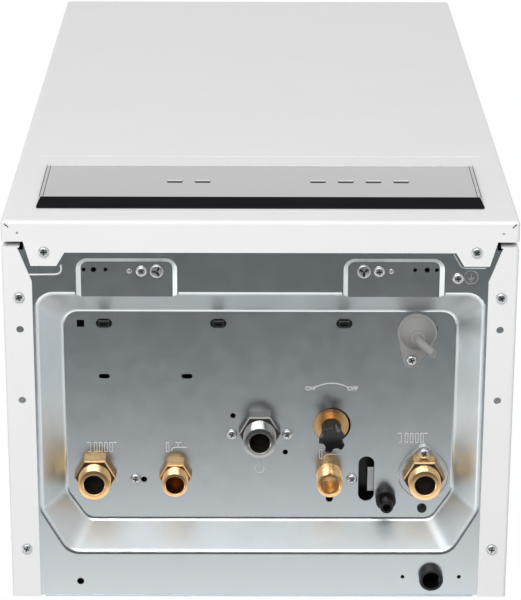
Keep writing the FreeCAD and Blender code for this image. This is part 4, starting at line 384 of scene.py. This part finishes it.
def makeScrews():
    setup = screwSetup
    head = addRound(setup["head"], -setup["height"], 0, sides=28)
    bevelFaces(head, facesDown, setup["crown"], 5)
    for bar in addCross(setup["crossLength"], setup["crossDepth"] * 2, -setup["height"]):
        pickFaces(bar, facesUp)
        widenBy(setup["floorShare"])  # the recess narrows towards its floor
        cutAway(head, bar)
    shank = addRound(setup["shank"], setup["shankStart"], setup["shankEnd"], sides=16)
    bevelFaces(shank, facesUp, setup["shankTip"], 2)
    recessFloor = setup["crossDepth"] - setup["height"]
    soil = addCross(setup["crossLength"] * setup["floorShare"], setup["soil"], recessFloor)
    for bar in soil:  # painted shade on the floor of the recess
        bevelFaces(bar, facesDown, setup["soil"] / 4, 2)
    spots = [(*spot, number * setup["turnStep"] % 90) for number, spot in enumerate(screwSpots)]
    screws = spreadCopies(joinPieces([head, shank]), spots)
    dressPiece(screws, "panHeadScrews", "brightZinc", replaced=["pan_head_screws"], smooth=40)
    # the dark crosses are painted shade in the recesses
    dressPiece(spreadCopies(joinPieces(soil), spots), "screwRecessShade", "seamShadow")


makeScrews()
print("screws made:", len(screwSpots))

# Pipe fittings: what they share, then each one's place, thread radius, bore radius, hexagon across flats
# (0 for a plain collar) and the levels of its end and seat, in mm
fittingSetup = dict(threadPitch=1.814, threadDepth=0.2, toothShare=0.45, threadSteps=40, endChamfer=0.9,
                    leadIn=0.7, hexHeight=8.0, hexBevel=1.0, hexTurn=30, stepDepth=7, stepWidth=1.2,
                    mouthDepth=6)
# Deeper than its mouth a bore takes its waterway finish; the brown-black one is painted shade
brassFitting = dict(end=2, seat=floorLevel, boreDepth=30, finish="turnedBrass", slot="brass",
                    waterway="paintedDeepShade")
largeFitting = dict(brassFitting, thread=13.2, bore=8.3, hexagon=29.5)
smallFitting = dict(brassFitting, thread=10.5, bore=7.5, hexagon=23)
fittings = {
    "heatingFlowFitting": dict(largeFitting, node="heating_flow_fitting", place=(-133.5, -98)),
    "hotWaterFitting": dict(smallFitting, node="hot_water_fitting", place=(-68.3, -98),
                            waterway="brownWaterway"),
    "gasFitting": dict(largeFitting, node="gas_fitting", place=(0, -136.5), end=-2, finish="brightNickel",
                       slot="nickel_plate"),
    "coldWaterFitting": dict(smallFitting, node="cold_water_fitting", place=(56.7, -98), hexagon=0,
                             boreDepth=11, stepped=True, waterway="turnedBrass"),
    "heatingReturnFitting": dict(largeFitting, node="heating_return_fitting", place=(133.5, -98),
                                 seat=plateLevel),
}


def makeThread(radius, low, high, centre):  # a helical ridge on the sleeve
    setup = fittingSetup
    pitch = setup["threadPitch"]
    tooth = pitch * setup["toothShare"]
    ridge = addPrimitive("circle", vertices=3, radius=tooth * mm, fill_type="NOTHING",
                         location=((radius - tooth) * mm, 0, (low + pitch / 2) * mm),
                         rotation=(math.pi / 2, math.pi / 2, 0))  # its crest points outwards
    helix = ridge.modifiers.new("helix", "SCREW")
    helix.screw_offset = pitch * mm
    helix.iterations = max(1, int((high - low) / pitch) - 1)
    helix.steps = helix.render_steps = setup["threadSteps"]
    helix.use_merge_vertices = False
    bpy.ops.object.modifier_apply(modifier=helix.name)
    bpy.ops.object.mode_set(mode="EDIT")
    bpy.ops.mesh.select_all(action="SELECT")
    bpy.ops.mesh.fill_holes(sides=3)
    leaveEdit()
    ridge.data.transform(Matrix.Translation(Vector((*centre, 0)) * mm))
    return ridge


def makeFitting(name, part):
    setup = fittingSetup
    centre, bore, seat = part["place"], part["bore"], part["seat"]
    hexLow = seat - setup["hexHeight"] if part["hexagon"] else seat
    core = part["thread"] - setup["threadDepth"]
    sleeve = addRound(core, part["end"], seat, centre)
    bevelFaces(sleeve, facesDown, setup["endChamfer"], 2)
    pickFaces(sleeve, facesDown)
    bpy.ops.mesh.inset(thickness=(core - setup["endChamfer"] - setup["leadIn"] - bore) * mm)
    bpy.ops.mesh.inset(thickness=setup["leadIn"] * mm, depth=-setup["leadIn"] * mm)  # the bore's lead-in
    depth = part["boreDepth"]
    if part.get("stepped"):  # a wide mouth that narrows to the waterway
        extrudeBy(0, 0, setup["stepDepth"])
        bpy.ops.mesh.inset(thickness=setup["stepWidth"] * mm)
        depth -= setup["stepDepth"]
    extrudeBy(0, 0, depth)
    leaveEdit()
    pieces = [sleeve, makeThread(part["thread"], part["end"] + setup["endChamfer"], hexLow, centre)]
    if part["hexagon"]:
        hexagon = addRound(part["hexagon"] / math.sqrt(3), hexLow, seat, centre, 6, setup["hexTurn"])
        bevelFaces(hexagon, facesDown, setup["hexBevel"], 1)
        pieces.append(hexagon)
    fitting = joinPieces(pieces)
    dressPiece(fitting, name, part["finish"], replaced=[part["node"]], smooth=30)
    # deeper bore faces take the waterway finish, painted shade in the dark bores
    fitting.data.materials.append(finish[part["waterway"]])
    mouthEnd = part["end"] + setup["mouthDepth"]
    for face in fitting.data.polygons:  # the bore keeps the outer finish only near its mouth
        away = (Vector(face.center[:2]) / mm - Vector(centre)).length
        face.material_index = 1 if away < bore and face.center.z / mm > mouthEnd else 0


for name, part in fittings.items():
    makeFitting(name, part)
print("fittings made:", len(fittings))


# Signs embossed in the tray: strokes of points x, y in mm about each sign's place
def boxStroke(left, right, half):
    return [(left, -half), (right, -half), (right, half), (left, half), (left, -half)]


ribs = dict(middles=(-5.0, -0.8, 3.4, 7.6), half=1.1, tall=4.0)
radiatorStrokes = [boxStroke(middle - ribs["half"], middle + ribs["half"], ribs["tall"])
                   for middle in ribs["middles"]]
radiatorStrokes += [[(-12, -4), (-9, -4), (-9, 4), (-11, 4)], [(9.4, -4), (12, -4)]]
tapStrokes = [boxStroke(-8, -6, 4), [(-4, 3.4), (-3.4, 1.2), (-1.4, 0.2), (8.5, 0.2)],
              [(-1, -4), (4, -4)], [(1.5, -4), (1.5, 0.2)]]
flameTip = (0, -8.3)
flameStroke = [flameTip, *ring(0, 0, 3.6, -60, 240, 18), flameTip]
earthStrokes = [ring(0, 0, 5.4), [(-3.2, 0.6), (3.2, 0.6)], [(-2.0, 2.0), (2.0, 2.0)],
                [(-0.9, 3.4), (0.9, 3.4)], [(0, -3.2), (0, 0.6)]]
plateRim = ring(0, 0, 20.1, -43.8, 223.8, 40) + ring(0, -19.5, 6.6, -136.2, -43.8, 12)
leftSeat = [(-181, -278.5), (-160.5, -278.7), (-157.6, -279.3), (-156.0, -280.7), (-155.3, -282.8),
            (-155.5, -286.6)]  # bead round the seat of the cover's tab
rightSeat = [(150.6, -295.8), (155.9, -286.8), (157.0, -285.3), (158.6, -284.5), (161.0, -284.3),
             (176.0, -284.3)]
crestDrop = 0.12  # how far the middle of a line lies below its sheet, in mm
# Most sign lines and beads are pale: painted highlight on their crests
embossed = dict(place=(0, 0), level=floorLevel - crestDrop, line=0.32, finish="paintedRidgeHighlight",
                slot="galvanised_steel")
signs = {
    "flowSign": dict(embossed, place=(-128, -122), strokes=radiatorStrokes),
    "hotWaterSign": dict(embossed, place=(-67.5, -122), strokes=tapStrokes),
    "returnSign": dict(embossed, place=(124, -130.5), strokes=radiatorStrokes),
    "coldWaterSign": dict(embossed, place=(56.7, -116), strokes=tapStrokes),
    "gasSign": dict(embossed, place=(0, -103.2), strokes=[flameStroke]),
    "fillingSign": dict(embossed, place=(57.8, -152), strokes=[ring(0, 0, 26, -125, -58, 24)]),
    "earthSign": dict(embossed, place=(164.7, -277), strokes=earthStrokes, level=trayLevel + 0.6, line=0.7,
                      finish="galvanisedSheet"),  # only a low crest shows
    "returnPlateRim": dict(embossed, place=(133.5, -98), strokes=[plateRim], level=plateLevel - crestDrop,
                           line=0.5, finish="brightZinc", slot="zinc_plate"),
    "leftTabSeat": dict(embossed, strokes=[leftSeat], level=trayLevel - crestDrop, line=0.7),
    "rightTabSeat": dict(embossed, strokes=[rightSeat], level=trayLevel + 0.22, line=0.45,
                         finish="galvanisedSheet"),
}
for name, sign in signs.items():
    x, y = sign["place"]
    moved = [[(x + across, y + along) for across, along in stroke] for stroke in sign["strokes"]]
    drawFlat(name, moved, sign["level"], sign["line"], sign["finish"])

# Words beside the filling knob, with their x, in mm
wordSetup = dict(words={"onWord": ("ON", 40.4), "offWord": ("OFF", 74.6)}, row=-173.3, level=floorLevel + 0.1,
                 size=4.8, line=0.18)


def makeWord(name, text, x):
    setup = wordSetup
    deselectAll()
    bpy.ops.object.text_add(location=Vector((x, setup["row"], setup["level"])) * mm, rotation=(math.pi, 0, 0))
    word = bpy.context.object
    word.data.body = text
    word.data.size = setup["size"] * mm
    word.data.align_x = "CENTER"
    word.data.align_y = "CENTER"
    word.data.fill_mode = "NONE"
    word.data.bevel_depth = setup["line"] * mm
    bpy.ops.object.convert(target="MESH")
    bpy.ops.object.transform_apply(location=True, rotation=True, scale=True)
    # the words' pale crests are painted highlight
    dressPiece(bpy.context.object, name, "paintedRidgeHighlight", smooth=60)


for name, (text, x) in wordSetup["words"].items():
    makeWord(name, text, x)
print("signs embossed:", len(signs))

# Filling knob: levels and radii in mm, flutes cut from its tip
knobSetup = dict(place=(57.8, -141.5), top=18.7, waist=7.0, rim=-5.3, tip=-7.3, base=8.0, reach=10.6,
                 flutes=5, flute=4.6, flutePlace=12.2, fluteTop=10.9, dishRim=3.0, dish=1.4, edge=0.8)


def makeKnob():
    setup = knobSetup
    x, y = setup["place"]
    knob = addRound(setup["base"], setup["waist"], setup["top"], setup["place"])
    pickFaces(knob, facesDown)
    extrudeBy(0, 0, setup["rim"] - setup["waist"])
    widenBy(setup["reach"] / setup["base"])
    extrudeBy(0, 0, setup["tip"] - setup["rim"])
    bpy.ops.mesh.inset(thickness=setup["dishRim"] * mm, depth=-setup["dish"] * mm)
    leaveEdit()
    for number in range(setup["flutes"]):
        turn = math.radians(360 / setup["flutes"] * number)
        spot = (x + setup["flutePlace"] * math.cos(turn), y + setup["flutePlace"] * math.sin(turn))
        cutAway(knob, addRound(setup["flute"], setup["tip"] - cutOver, setup["fluteTop"], spot, sides=32))
    softenEdges(knob, setup["edge"])
    dressPiece(knob, "fillingKnob", "blackNylon", "filling_knob", ["filling_valve_knob"])


makeKnob()
print("filling knob made")

# Tray plug with a domed head, in mm
plugSetup = dict(place=(133, -68), head=4.0, low=23.0, dome=1.7, neck=2.9, neckLow=24.8, neckTop=27.0)


def makePlug():
    setup = plugSetup
    head = addRound(setup["head"], setup["low"], floorLevel, setup["place"], sides=40)
    bevelFaces(head, facesDown, setup["dome"], 5)
    neck = addRound(setup["neck"], setup["neckLow"], setup["neckTop"], setup["place"], sides=32)
    dressPiece(joinPieces([head, neck]), "trayPlug", "blackNylon", replaced=["tray_plug"])


# Cable clips with a hollow tongue: tongue and head by half their width and depth, in mm
clipSetup = dict(places=(-124.3, -33.3, 67.2), row=-229, tongue=(4.3, 2.8), low=22.0, top=26.0,
                 head=(8.0, 5.3), headTop=29.0, edge=0.9, wall=1.2, hollow=1.6)


def makeClips():
    setup = clipSetup
    wide, deep = setup["tongue"]
    tongue = addBlock((-wide, -deep, setup["low"]), (wide, deep, setup["top"]))
    bevelFaces(tongue, facesDown, setup["edge"], 3)
    pickFaces(tongue, facesDown)
    bpy.ops.mesh.inset(thickness=setup["wall"] * mm)
    extrudeBy(0, 0, setup["hollow"])
    leaveEdit()
    wide, deep = setup["head"]
    head = addBlock((-wide, -deep, setup["top"]), (wide, deep, setup["headTop"]))
    clips = spreadCopies(joinPieces([tongue, head]), [(x, setup["row"], 0, 0) for x in setup["places"]])
    dressPiece(clips, "cableClips", "blackNylon", replaced=["cable_clips"])


makePlug()
makeClips()
print("plug and clips made")

# Cable grommet: hull of a disc and a screw lug, a cone, and a bent nipple with a slanted end, in mm; lug, run
# and end are measured from its place
grommetSetup = dict(place=(125.5, -222), disc=15.8, lug=(-4.1, 23.0), lugRadius=7.0, edge=0.5, cone=13.8,
                    coneDrop=0.6, coneRoot=0.5, collar=6.0, coneLow=13.5, collarLow=10.5, soft=0.8,
                    nipple=3.5, end=(11.6, 7.0, -6.6), slant=(0.62, 0.1, -0.78),
                    run=((0, 0, 12), (0, 0, 5), (3, 1.6, 0.5), (9.5, 5.8, -4.5), (14.5, 8.8, -9.5)))
# Painted shade in the two ends of the slot that it sits in: two arcs in degrees
slotSetup = dict(radius=16.1, arcs=((-18, -6), (24, 36)), line=0.45)


def makeNipple():
    setup = grommetSetup
    place = Vector((*setup["place"], 0))
    nipple = makeBar("nipple", "NURBS", [[place + Vector(spot) for spot in setup["run"]]], setup["nipple"], 6)
    bpy.ops.object.mode_set(mode="EDIT")
    bpy.ops.mesh.select_all(action="SELECT")
    bpy.ops.mesh.bisect(plane_co=(place + Vector(setup["end"])) * mm, plane_no=setup["slant"], use_fill=True,
                        clear_outer=True)
    leaveEdit()
    return nipple


def makeGrommet():
    setup = grommetSetup
    x, y = setup["place"]
    lugPlace = (x + setup["lug"][0], y + setup["lug"][1])
    disc = addRound(setup["disc"], grommetLevel, floorLevel, setup["place"])
    lug = addRound(setup["lugRadius"], grommetLevel, floorLevel, lugPlace, sides=32)
    base = joinPieces([disc, lug])
    bpy.ops.object.mode_set(mode="EDIT")
    bpy.ops.mesh.select_all(action="SELECT")
    bpy.ops.mesh.convex_hull()
    bpy.ops.mesh.dissolve_limited(angle_limit=math.radians(1))
    leaveEdit()
    bevelFaces(base, facesDown, setup["edge"], 3)
    coneTop = grommetLevel - setup["coneDrop"]
    cone = addRound(setup["cone"], coneTop, grommetLevel + setup["coneRoot"], setup["place"])
    pickFaces(cone, facesDown)
    extrudeBy(0, 0, setup["coneLow"] - coneTop)
    widenBy(setup["collar"] / setup["cone"])
    extrudeBy(0, 0, setup["collarLow"] - setup["coneLow"])
    leaveEdit()
    softenEdges(cone, setup["soft"])
    grommet = joinPieces([base, cone, makeNipple()])
    dressPiece(grommet, "cableGrommet", "greyRubber", replaced=["cable_grommet"])
    ends = [ring(x, y, slotSetup["radius"], *arc, 4) for arc in slotSetup["arcs"]]
    # the slot's dark ends are painted shade
    drawFlat("grommetSlotShade", ends, floorLevel - crestDrop, slotSetup["line"], "paintedDeepShade")


makeGrommet()
print("grommet made")

# Small pieces on the two pads: bright locating pins, and studs with a three-armed recess, in mm; turns gives
# how each side's stud is turned, in degrees
padSetup = dict(row=-280.5, pinPlace=102.5, pin=2.0, pinProud=0.9, pinRoot=0.2, pinDome=0.6,
                studPlace=81, stud=5.3, studHeight=2.0, studEdge=0.9, turns={"left": 60, "right": 90},
                arms=3, arm=3.9, armWidth=1.5, armDepth=1.4, armShadeStart=0.45, armShadeHalf=0.3)


def addArm(turn, start, low, high):  # a bar that runs outwards from the stud's middle
    setup = padSetup
    reach = (start + setup["arm"]) / 2
    spot = Vector((reach * math.cos(turn), reach * math.sin(turn), (low + high) / 2))
    return addPrimitive("cube", size=mm, location=spot * mm, rotation=(0, 0, turn),
                        scale=(setup["arm"] - start, setup["armWidth"], high - low))


def makePadPieces():
    setup = padSetup
    pin = addRound(setup["pin"], padLevel - setup["pinProud"], padLevel + setup["pinRoot"], sides=24)
    bevelFaces(pin, facesDown, setup["pinDome"], 3)
    low = padLevel - setup["studHeight"]
    stud = addRound(setup["stud"], low, padLevel, sides=40)
    bevelFaces(stud, facesDown, setup["studEdge"], 3)
    recessFloor = low + setup["armDepth"]
    armShades = []
    for number in range(setup["arms"]):
        turn = math.radians(360 / setup["arms"] * number)
        cutAway(stud, addArm(turn, 0, low - cutOver, recessFloor))
        # a thin dark bar on the floor of each arm is painted shade
        core = addArm(turn, setup["armShadeStart"], recessFloor - setup["armShadeHalf"],
                      recessFloor + setup["armShadeHalf"])
        bevelFaces(core, facesDown, setup["armShadeHalf"] / 3, 2)
        armShades.append(core)
    pinSpots = [(side * setup["pinPlace"], setup["row"], 0, 0) for side in sides.values()]
    studSpots = [(side * setup["studPlace"], setup["row"], 0, setup["turns"][label])
                 for label, side in sides.items()]
    dressPiece(spreadCopies(pin, pinSpots), "locatingPins", "brightZinc")
    studs = spreadCopies(stud, studSpots)
    dressPiece(studs, "snapStuds", "brightZinc", replaced=["snap_studs"])
    # the dark bars are painted shade in the stud's arms
    dressPiece(spreadCopies(joinPieces(armShades), studSpots), "snapStudArmShade", "blackNylon")


makePadPieces()
print("pad pieces made")

# Keys of the panel: how far they stand out, the round of their edge and the skirt behind the panel, in mm
keySetup = dict(proud=0.45, round=0.25, skirt=1.6, skirtDepth=1.0)
keyNodes = ("power_key", "mode_key", "water_minus_key", "water_plus_key", "heating_minus_key",
            "heating_plus_key")


def makeKey(node):
    setup = keySetup
    low, high = [Vector(corner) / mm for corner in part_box(node)]
    back = high.y - setup["skirtDepth"]
    key = addBlock((low.x, back, low.z), high)
    pickFaces(key, facesFront)
    bpy.ops.mesh.inset(thickness=setup["skirt"] * mm)
    extrudeBy(0, panelFace - setup["proud"] - back, 0)
    bpy.ops.mesh.bevel(offset=setup["round"] * mm, segments=3, affect="EDGES")
    leaveEdit()
    first, *rest = node.split("_")
    name = first + "".join(word.title() for word in rest)
    dressPiece(key, name, "blackAcrylic", node, [node])


for node in keyNodes:
    makeKey(node)
print("keys made:", len(keyNodes))

# Edges of the panel's face: two dark lines of painted shade at each end and a white strip of painted
# highlight along the top, in mm
panelSetup = dict(half=175.6, inner=172.6, low=53.0, high=141.2, endLine=0.3, lip=4.5, topHighlightProud=0.25)


def makePanelEdges():
    setup = panelSetup
    for label, side in sides.items():
        runs = [[(side * reach, panelFace, level) for level in (setup["low"], setup["high"])]
                for reach in (setup["half"], setup["inner"])]
        drawLines(label + "PanelEndShade", runs, setup["endLine"], "seamShadow")
    # a white strip along the top edge is painted highlight
    lip = addBlock((-setup["half"], panelFace - setup["topHighlightProud"], setup["high"] - setup["lip"]),
                   (setup["half"], panelFace + setup["topHighlightProud"], setup["high"]))
    bevelFaces(lip, facesFront, setup["topHighlightProud"] / 2, 2)
    dressPiece(lip, "panelTopHighlight", "powderCoatWhite")


makePanelEdges()
print("panel edges drawn")

# Light bracket seen through the inspection slot, its foot up to the water block, in mm
bracketSetup = dict(low=(88.2, -102.6, 29.5), high=(93.4, -81.6, 30.7), thick=1.2, foot=9.4)


def makeSlotBracket():
    setup = bracketSetup
    bend = setup["high"][0] * mm
    bracket = addBlock(setup["low"], setup["high"])
    pickFaces(bracket, facesRight)
    extrudeBy(setup["thick"], 0, 0)
    pickFaces(bracket, lambda face: facesUp(face) and face.center.x > bend)
    extrudeBy(0, 0, setup["foot"])
    leaveEdit()
    dressPiece(bracket, "slotBracket", "stainlessSheet")


makeSlotBracket()
print("slot bracket made")

# Seams and dimples of the folded cover corners, fine dark lines of painted shade let into the lower flange,
# in mm
seamSetup = dict(dash=((198.6, -320.6), (195.6, -317.8)), dashRise=0.13, dashLine=0.55,
                 dimple=(188.8, -313.0), dimpleRadius=0.7, dimpleRise=0.18, dimpleLine=0.3)


def makeSeams():
    setup = seamSetup
    x, y = setup["dimple"]
    for label, side in sides.items():
        dash = [(side * across, along) for across, along in setup["dash"]]
        drawFlat(label + "CornerSeamShade", [dash], flangeLevel + setup["dashRise"], setup["dashLine"],
                 "seamShadow")
        dimple = ring(side * x, y, setup["dimpleRadius"])
        drawFlat(label + "CornerDimpleShade", [dimple], flangeLevel + setup["dimpleRise"], setup["dimpleLine"],
                 "seamShadow")


makeSeams()
print("corner seams drawn")

# Camera, from below and in front: its place in mm, where it looks, its roll in degrees and its lens in mm
cameraSetup = dict(place=(-8.7, -916.3, -1815.1), ahead=(0.0046, 0.3409, 0.9401), roll=-0.62, lens=147.95,
                   reach=50)


def makeCamera():
    setup = cameraSetup
    data = bpy.data.cameras.new("photoCamera")
    data.lens = setup["lens"]
    data.clip_end = setup["reach"]
    camera = bpy.data.objects.new("photoCamera", data)
    bpy.context.collection.objects.link(camera)
    camera.location = Vector(setup["place"]) * mm
    turn = Vector(setup["ahead"]).to_track_quat("-Z", "Y").to_matrix().to_4x4()
    camera.rotation_euler = (turn @ Matrix.Rotation(math.radians(setup["roll"]), 4, "Z")).to_euler()
    bpy.context.scene.camera = camera


makeCamera()
print("camera set")

# Floor and world, in metres; ambient is the strength of the world's light on the object
stageSetup = dict(floorDrop=-2.45, floorSize=14, floorColor="#F2F2F2", floorRough=0.8, white="#FFFFFF",
                  ambient=0.42)


def makeFloor():
    setup = stageSetup
    deselectAll()
    bpy.ops.mesh.primitive_plane_add(size=setup["floorSize"], location=(0, 0, setup["floorDrop"]))
    floor = bpy.context.object
    floor.name = "floor"
    paint = bpy.data.materials.new("paleFloorPaint")
    paint.use_nodes = True
    tree = paint.node_tree
    shader = tree.nodes["Principled BSDF"]
    shader.inputs["Base Color"].default_value = hexColor(setup["floorColor"])
    shader.inputs["Roughness"].default_value = setup["floorRough"]
    ray = addNode(tree, "ShaderNodeLightPath", {}, {})
    mirrored = addNode(tree, "ShaderNodeEmission", {}, {"Color": hexColor(setup["white"])})  # seen in metal
    sight = addNode(tree, "ShaderNodeMixShader", {}, {
        0: ray.outputs["Is Glossy Ray"], 1: shader.outputs["BSDF"], 2: mirrored.outputs["Emission"]})
    tree.links.new(sight.outputs["Shader"], tree.nodes["Material Output"].inputs["Surface"])
    floor.data.materials.append(paint)


def makeWorld():
    world = bpy.data.worlds.new("studio")
    bpy.context.scene.world = world
    world.use_nodes = True
    tree = world.node_tree
    tree.nodes.clear()
    ray = addNode(tree, "ShaderNodeLightPath", {}, {})
    seen = addNode(tree, "ShaderNodeMath", {"operation": "MAXIMUM"}, {
        0: ray.outputs["Is Camera Ray"], 1: ray.outputs["Is Glossy Ray"]})
    shown = addNode(tree, "ShaderNodeMath", {"operation": "MAXIMUM"}, {
        0: seen.outputs["Value"], 1: ray.outputs["Is Transmission Ray"]})
    strength = addNode(tree, "ShaderNodeMapRange", {}, {
        "Value": shown.outputs["Value"], "To Min": stageSetup["ambient"], "To Max": 1.0})
    sky = addNode(tree, "ShaderNodeBackground", {}, {
        "Color": hexColor(stageSetup["white"]), "Strength": strength.outputs["Result"]})
    addNode(tree, "ShaderNodeOutputWorld", {}, {"Surface": sky.outputs["Background"]})


makeFloor()
makeWorld()

# Lamps: place and aim in metres, width and height, and power in watts
glint = dict(aim=(0, -0.1, 0.0), width=2.4, height=1.6, mirrored=True)  # lights only what mirrors it
lamps = {
    "frontSoftbox": dict(place=(-1.2, -2.6, -0.6), aim=(0, -0.3, 0.3), width=1.6, height=2.2, power=6),
    "lowerFill": dict(place=(-0.3, -1.9, -2.0), aim=(0, -0.2, 0.0), width=2.2, height=1.0, power=56),
    "rearBounce": dict(place=(0, 1.75, -2.1), aim=(0, 0.1, 0.0), width=3.2, height=1.2, power=8),
    "overheadSoftbox": dict(place=(0, -0.9, 3.0), aim=(0, -0.3, 0.1), width=2.6, height=1.1, power=6.4),
    "leftGlint": dict(glint, place=(-4.0, 1.5, -0.75), power=24),
    "rightGlint": dict(glint, place=(4.0, 1.5, -0.75), power=11),
}
# Flags: dark cards that only reflections see, by their middle and their width and depth in metres
flags = {
    "trayFlag": dict(place=(0, -1.0, -2.2), width=2.4, depth=3.76, shade="#606365"),
    "chinFlag": dict(place=(0, -2.0, 3.0), width=4.0, depth=0.9, shade="#060606"),
}


def makeLamp(name, setup):
    data = bpy.data.lights.new(name, "AREA")
    data.shape = "RECTANGLE"
    data.size = setup["width"]
    data.size_y = setup["height"]
    data.energy = setup["power"]
    lamp = bpy.data.objects.new(name, data)
    bpy.context.collection.objects.link(lamp)
    lamp.location = setup["place"]
    lamp.rotation_euler = (Vector(setup["aim"]) - Vector(setup["place"])).to_track_quat("-Z", "Y").to_euler()
    lamp.visible_camera = False
    lamp.visible_diffuse = not setup.get("mirrored", False)


def makeFlag(name, setup):
    deselectAll()
    bpy.ops.mesh.primitive_plane_add(size=1, location=setup["place"])
    flag = bpy.context.object
    flag.name = name
    flag.scale = (setup["width"], setup["depth"], 1)
    card = bpy.data.materials.new(name + "Card")
    card.use_nodes = True
    tree = card.node_tree
    tree.nodes.clear()
    glow = addNode(tree, "ShaderNodeEmission", {}, {"Color": hexColor(setup["shade"])})
    addNode(tree, "ShaderNodeOutputMaterial", {}, {"Surface": glow.outputs["Emission"]})
    flag.data.materials.append(card)
    for sight in ("visible_camera", "visible_diffuse", "visible_transmission", "visible_shadow"):
        setattr(flag, sight, False)


for name, setup in lamps.items():
    makeLamp(name, setup)
for name, setup in flags.items():
    makeFlag(name, setup)
print("stage lit")

bpy.context.scene.view_settings.view_transform = "Standard"
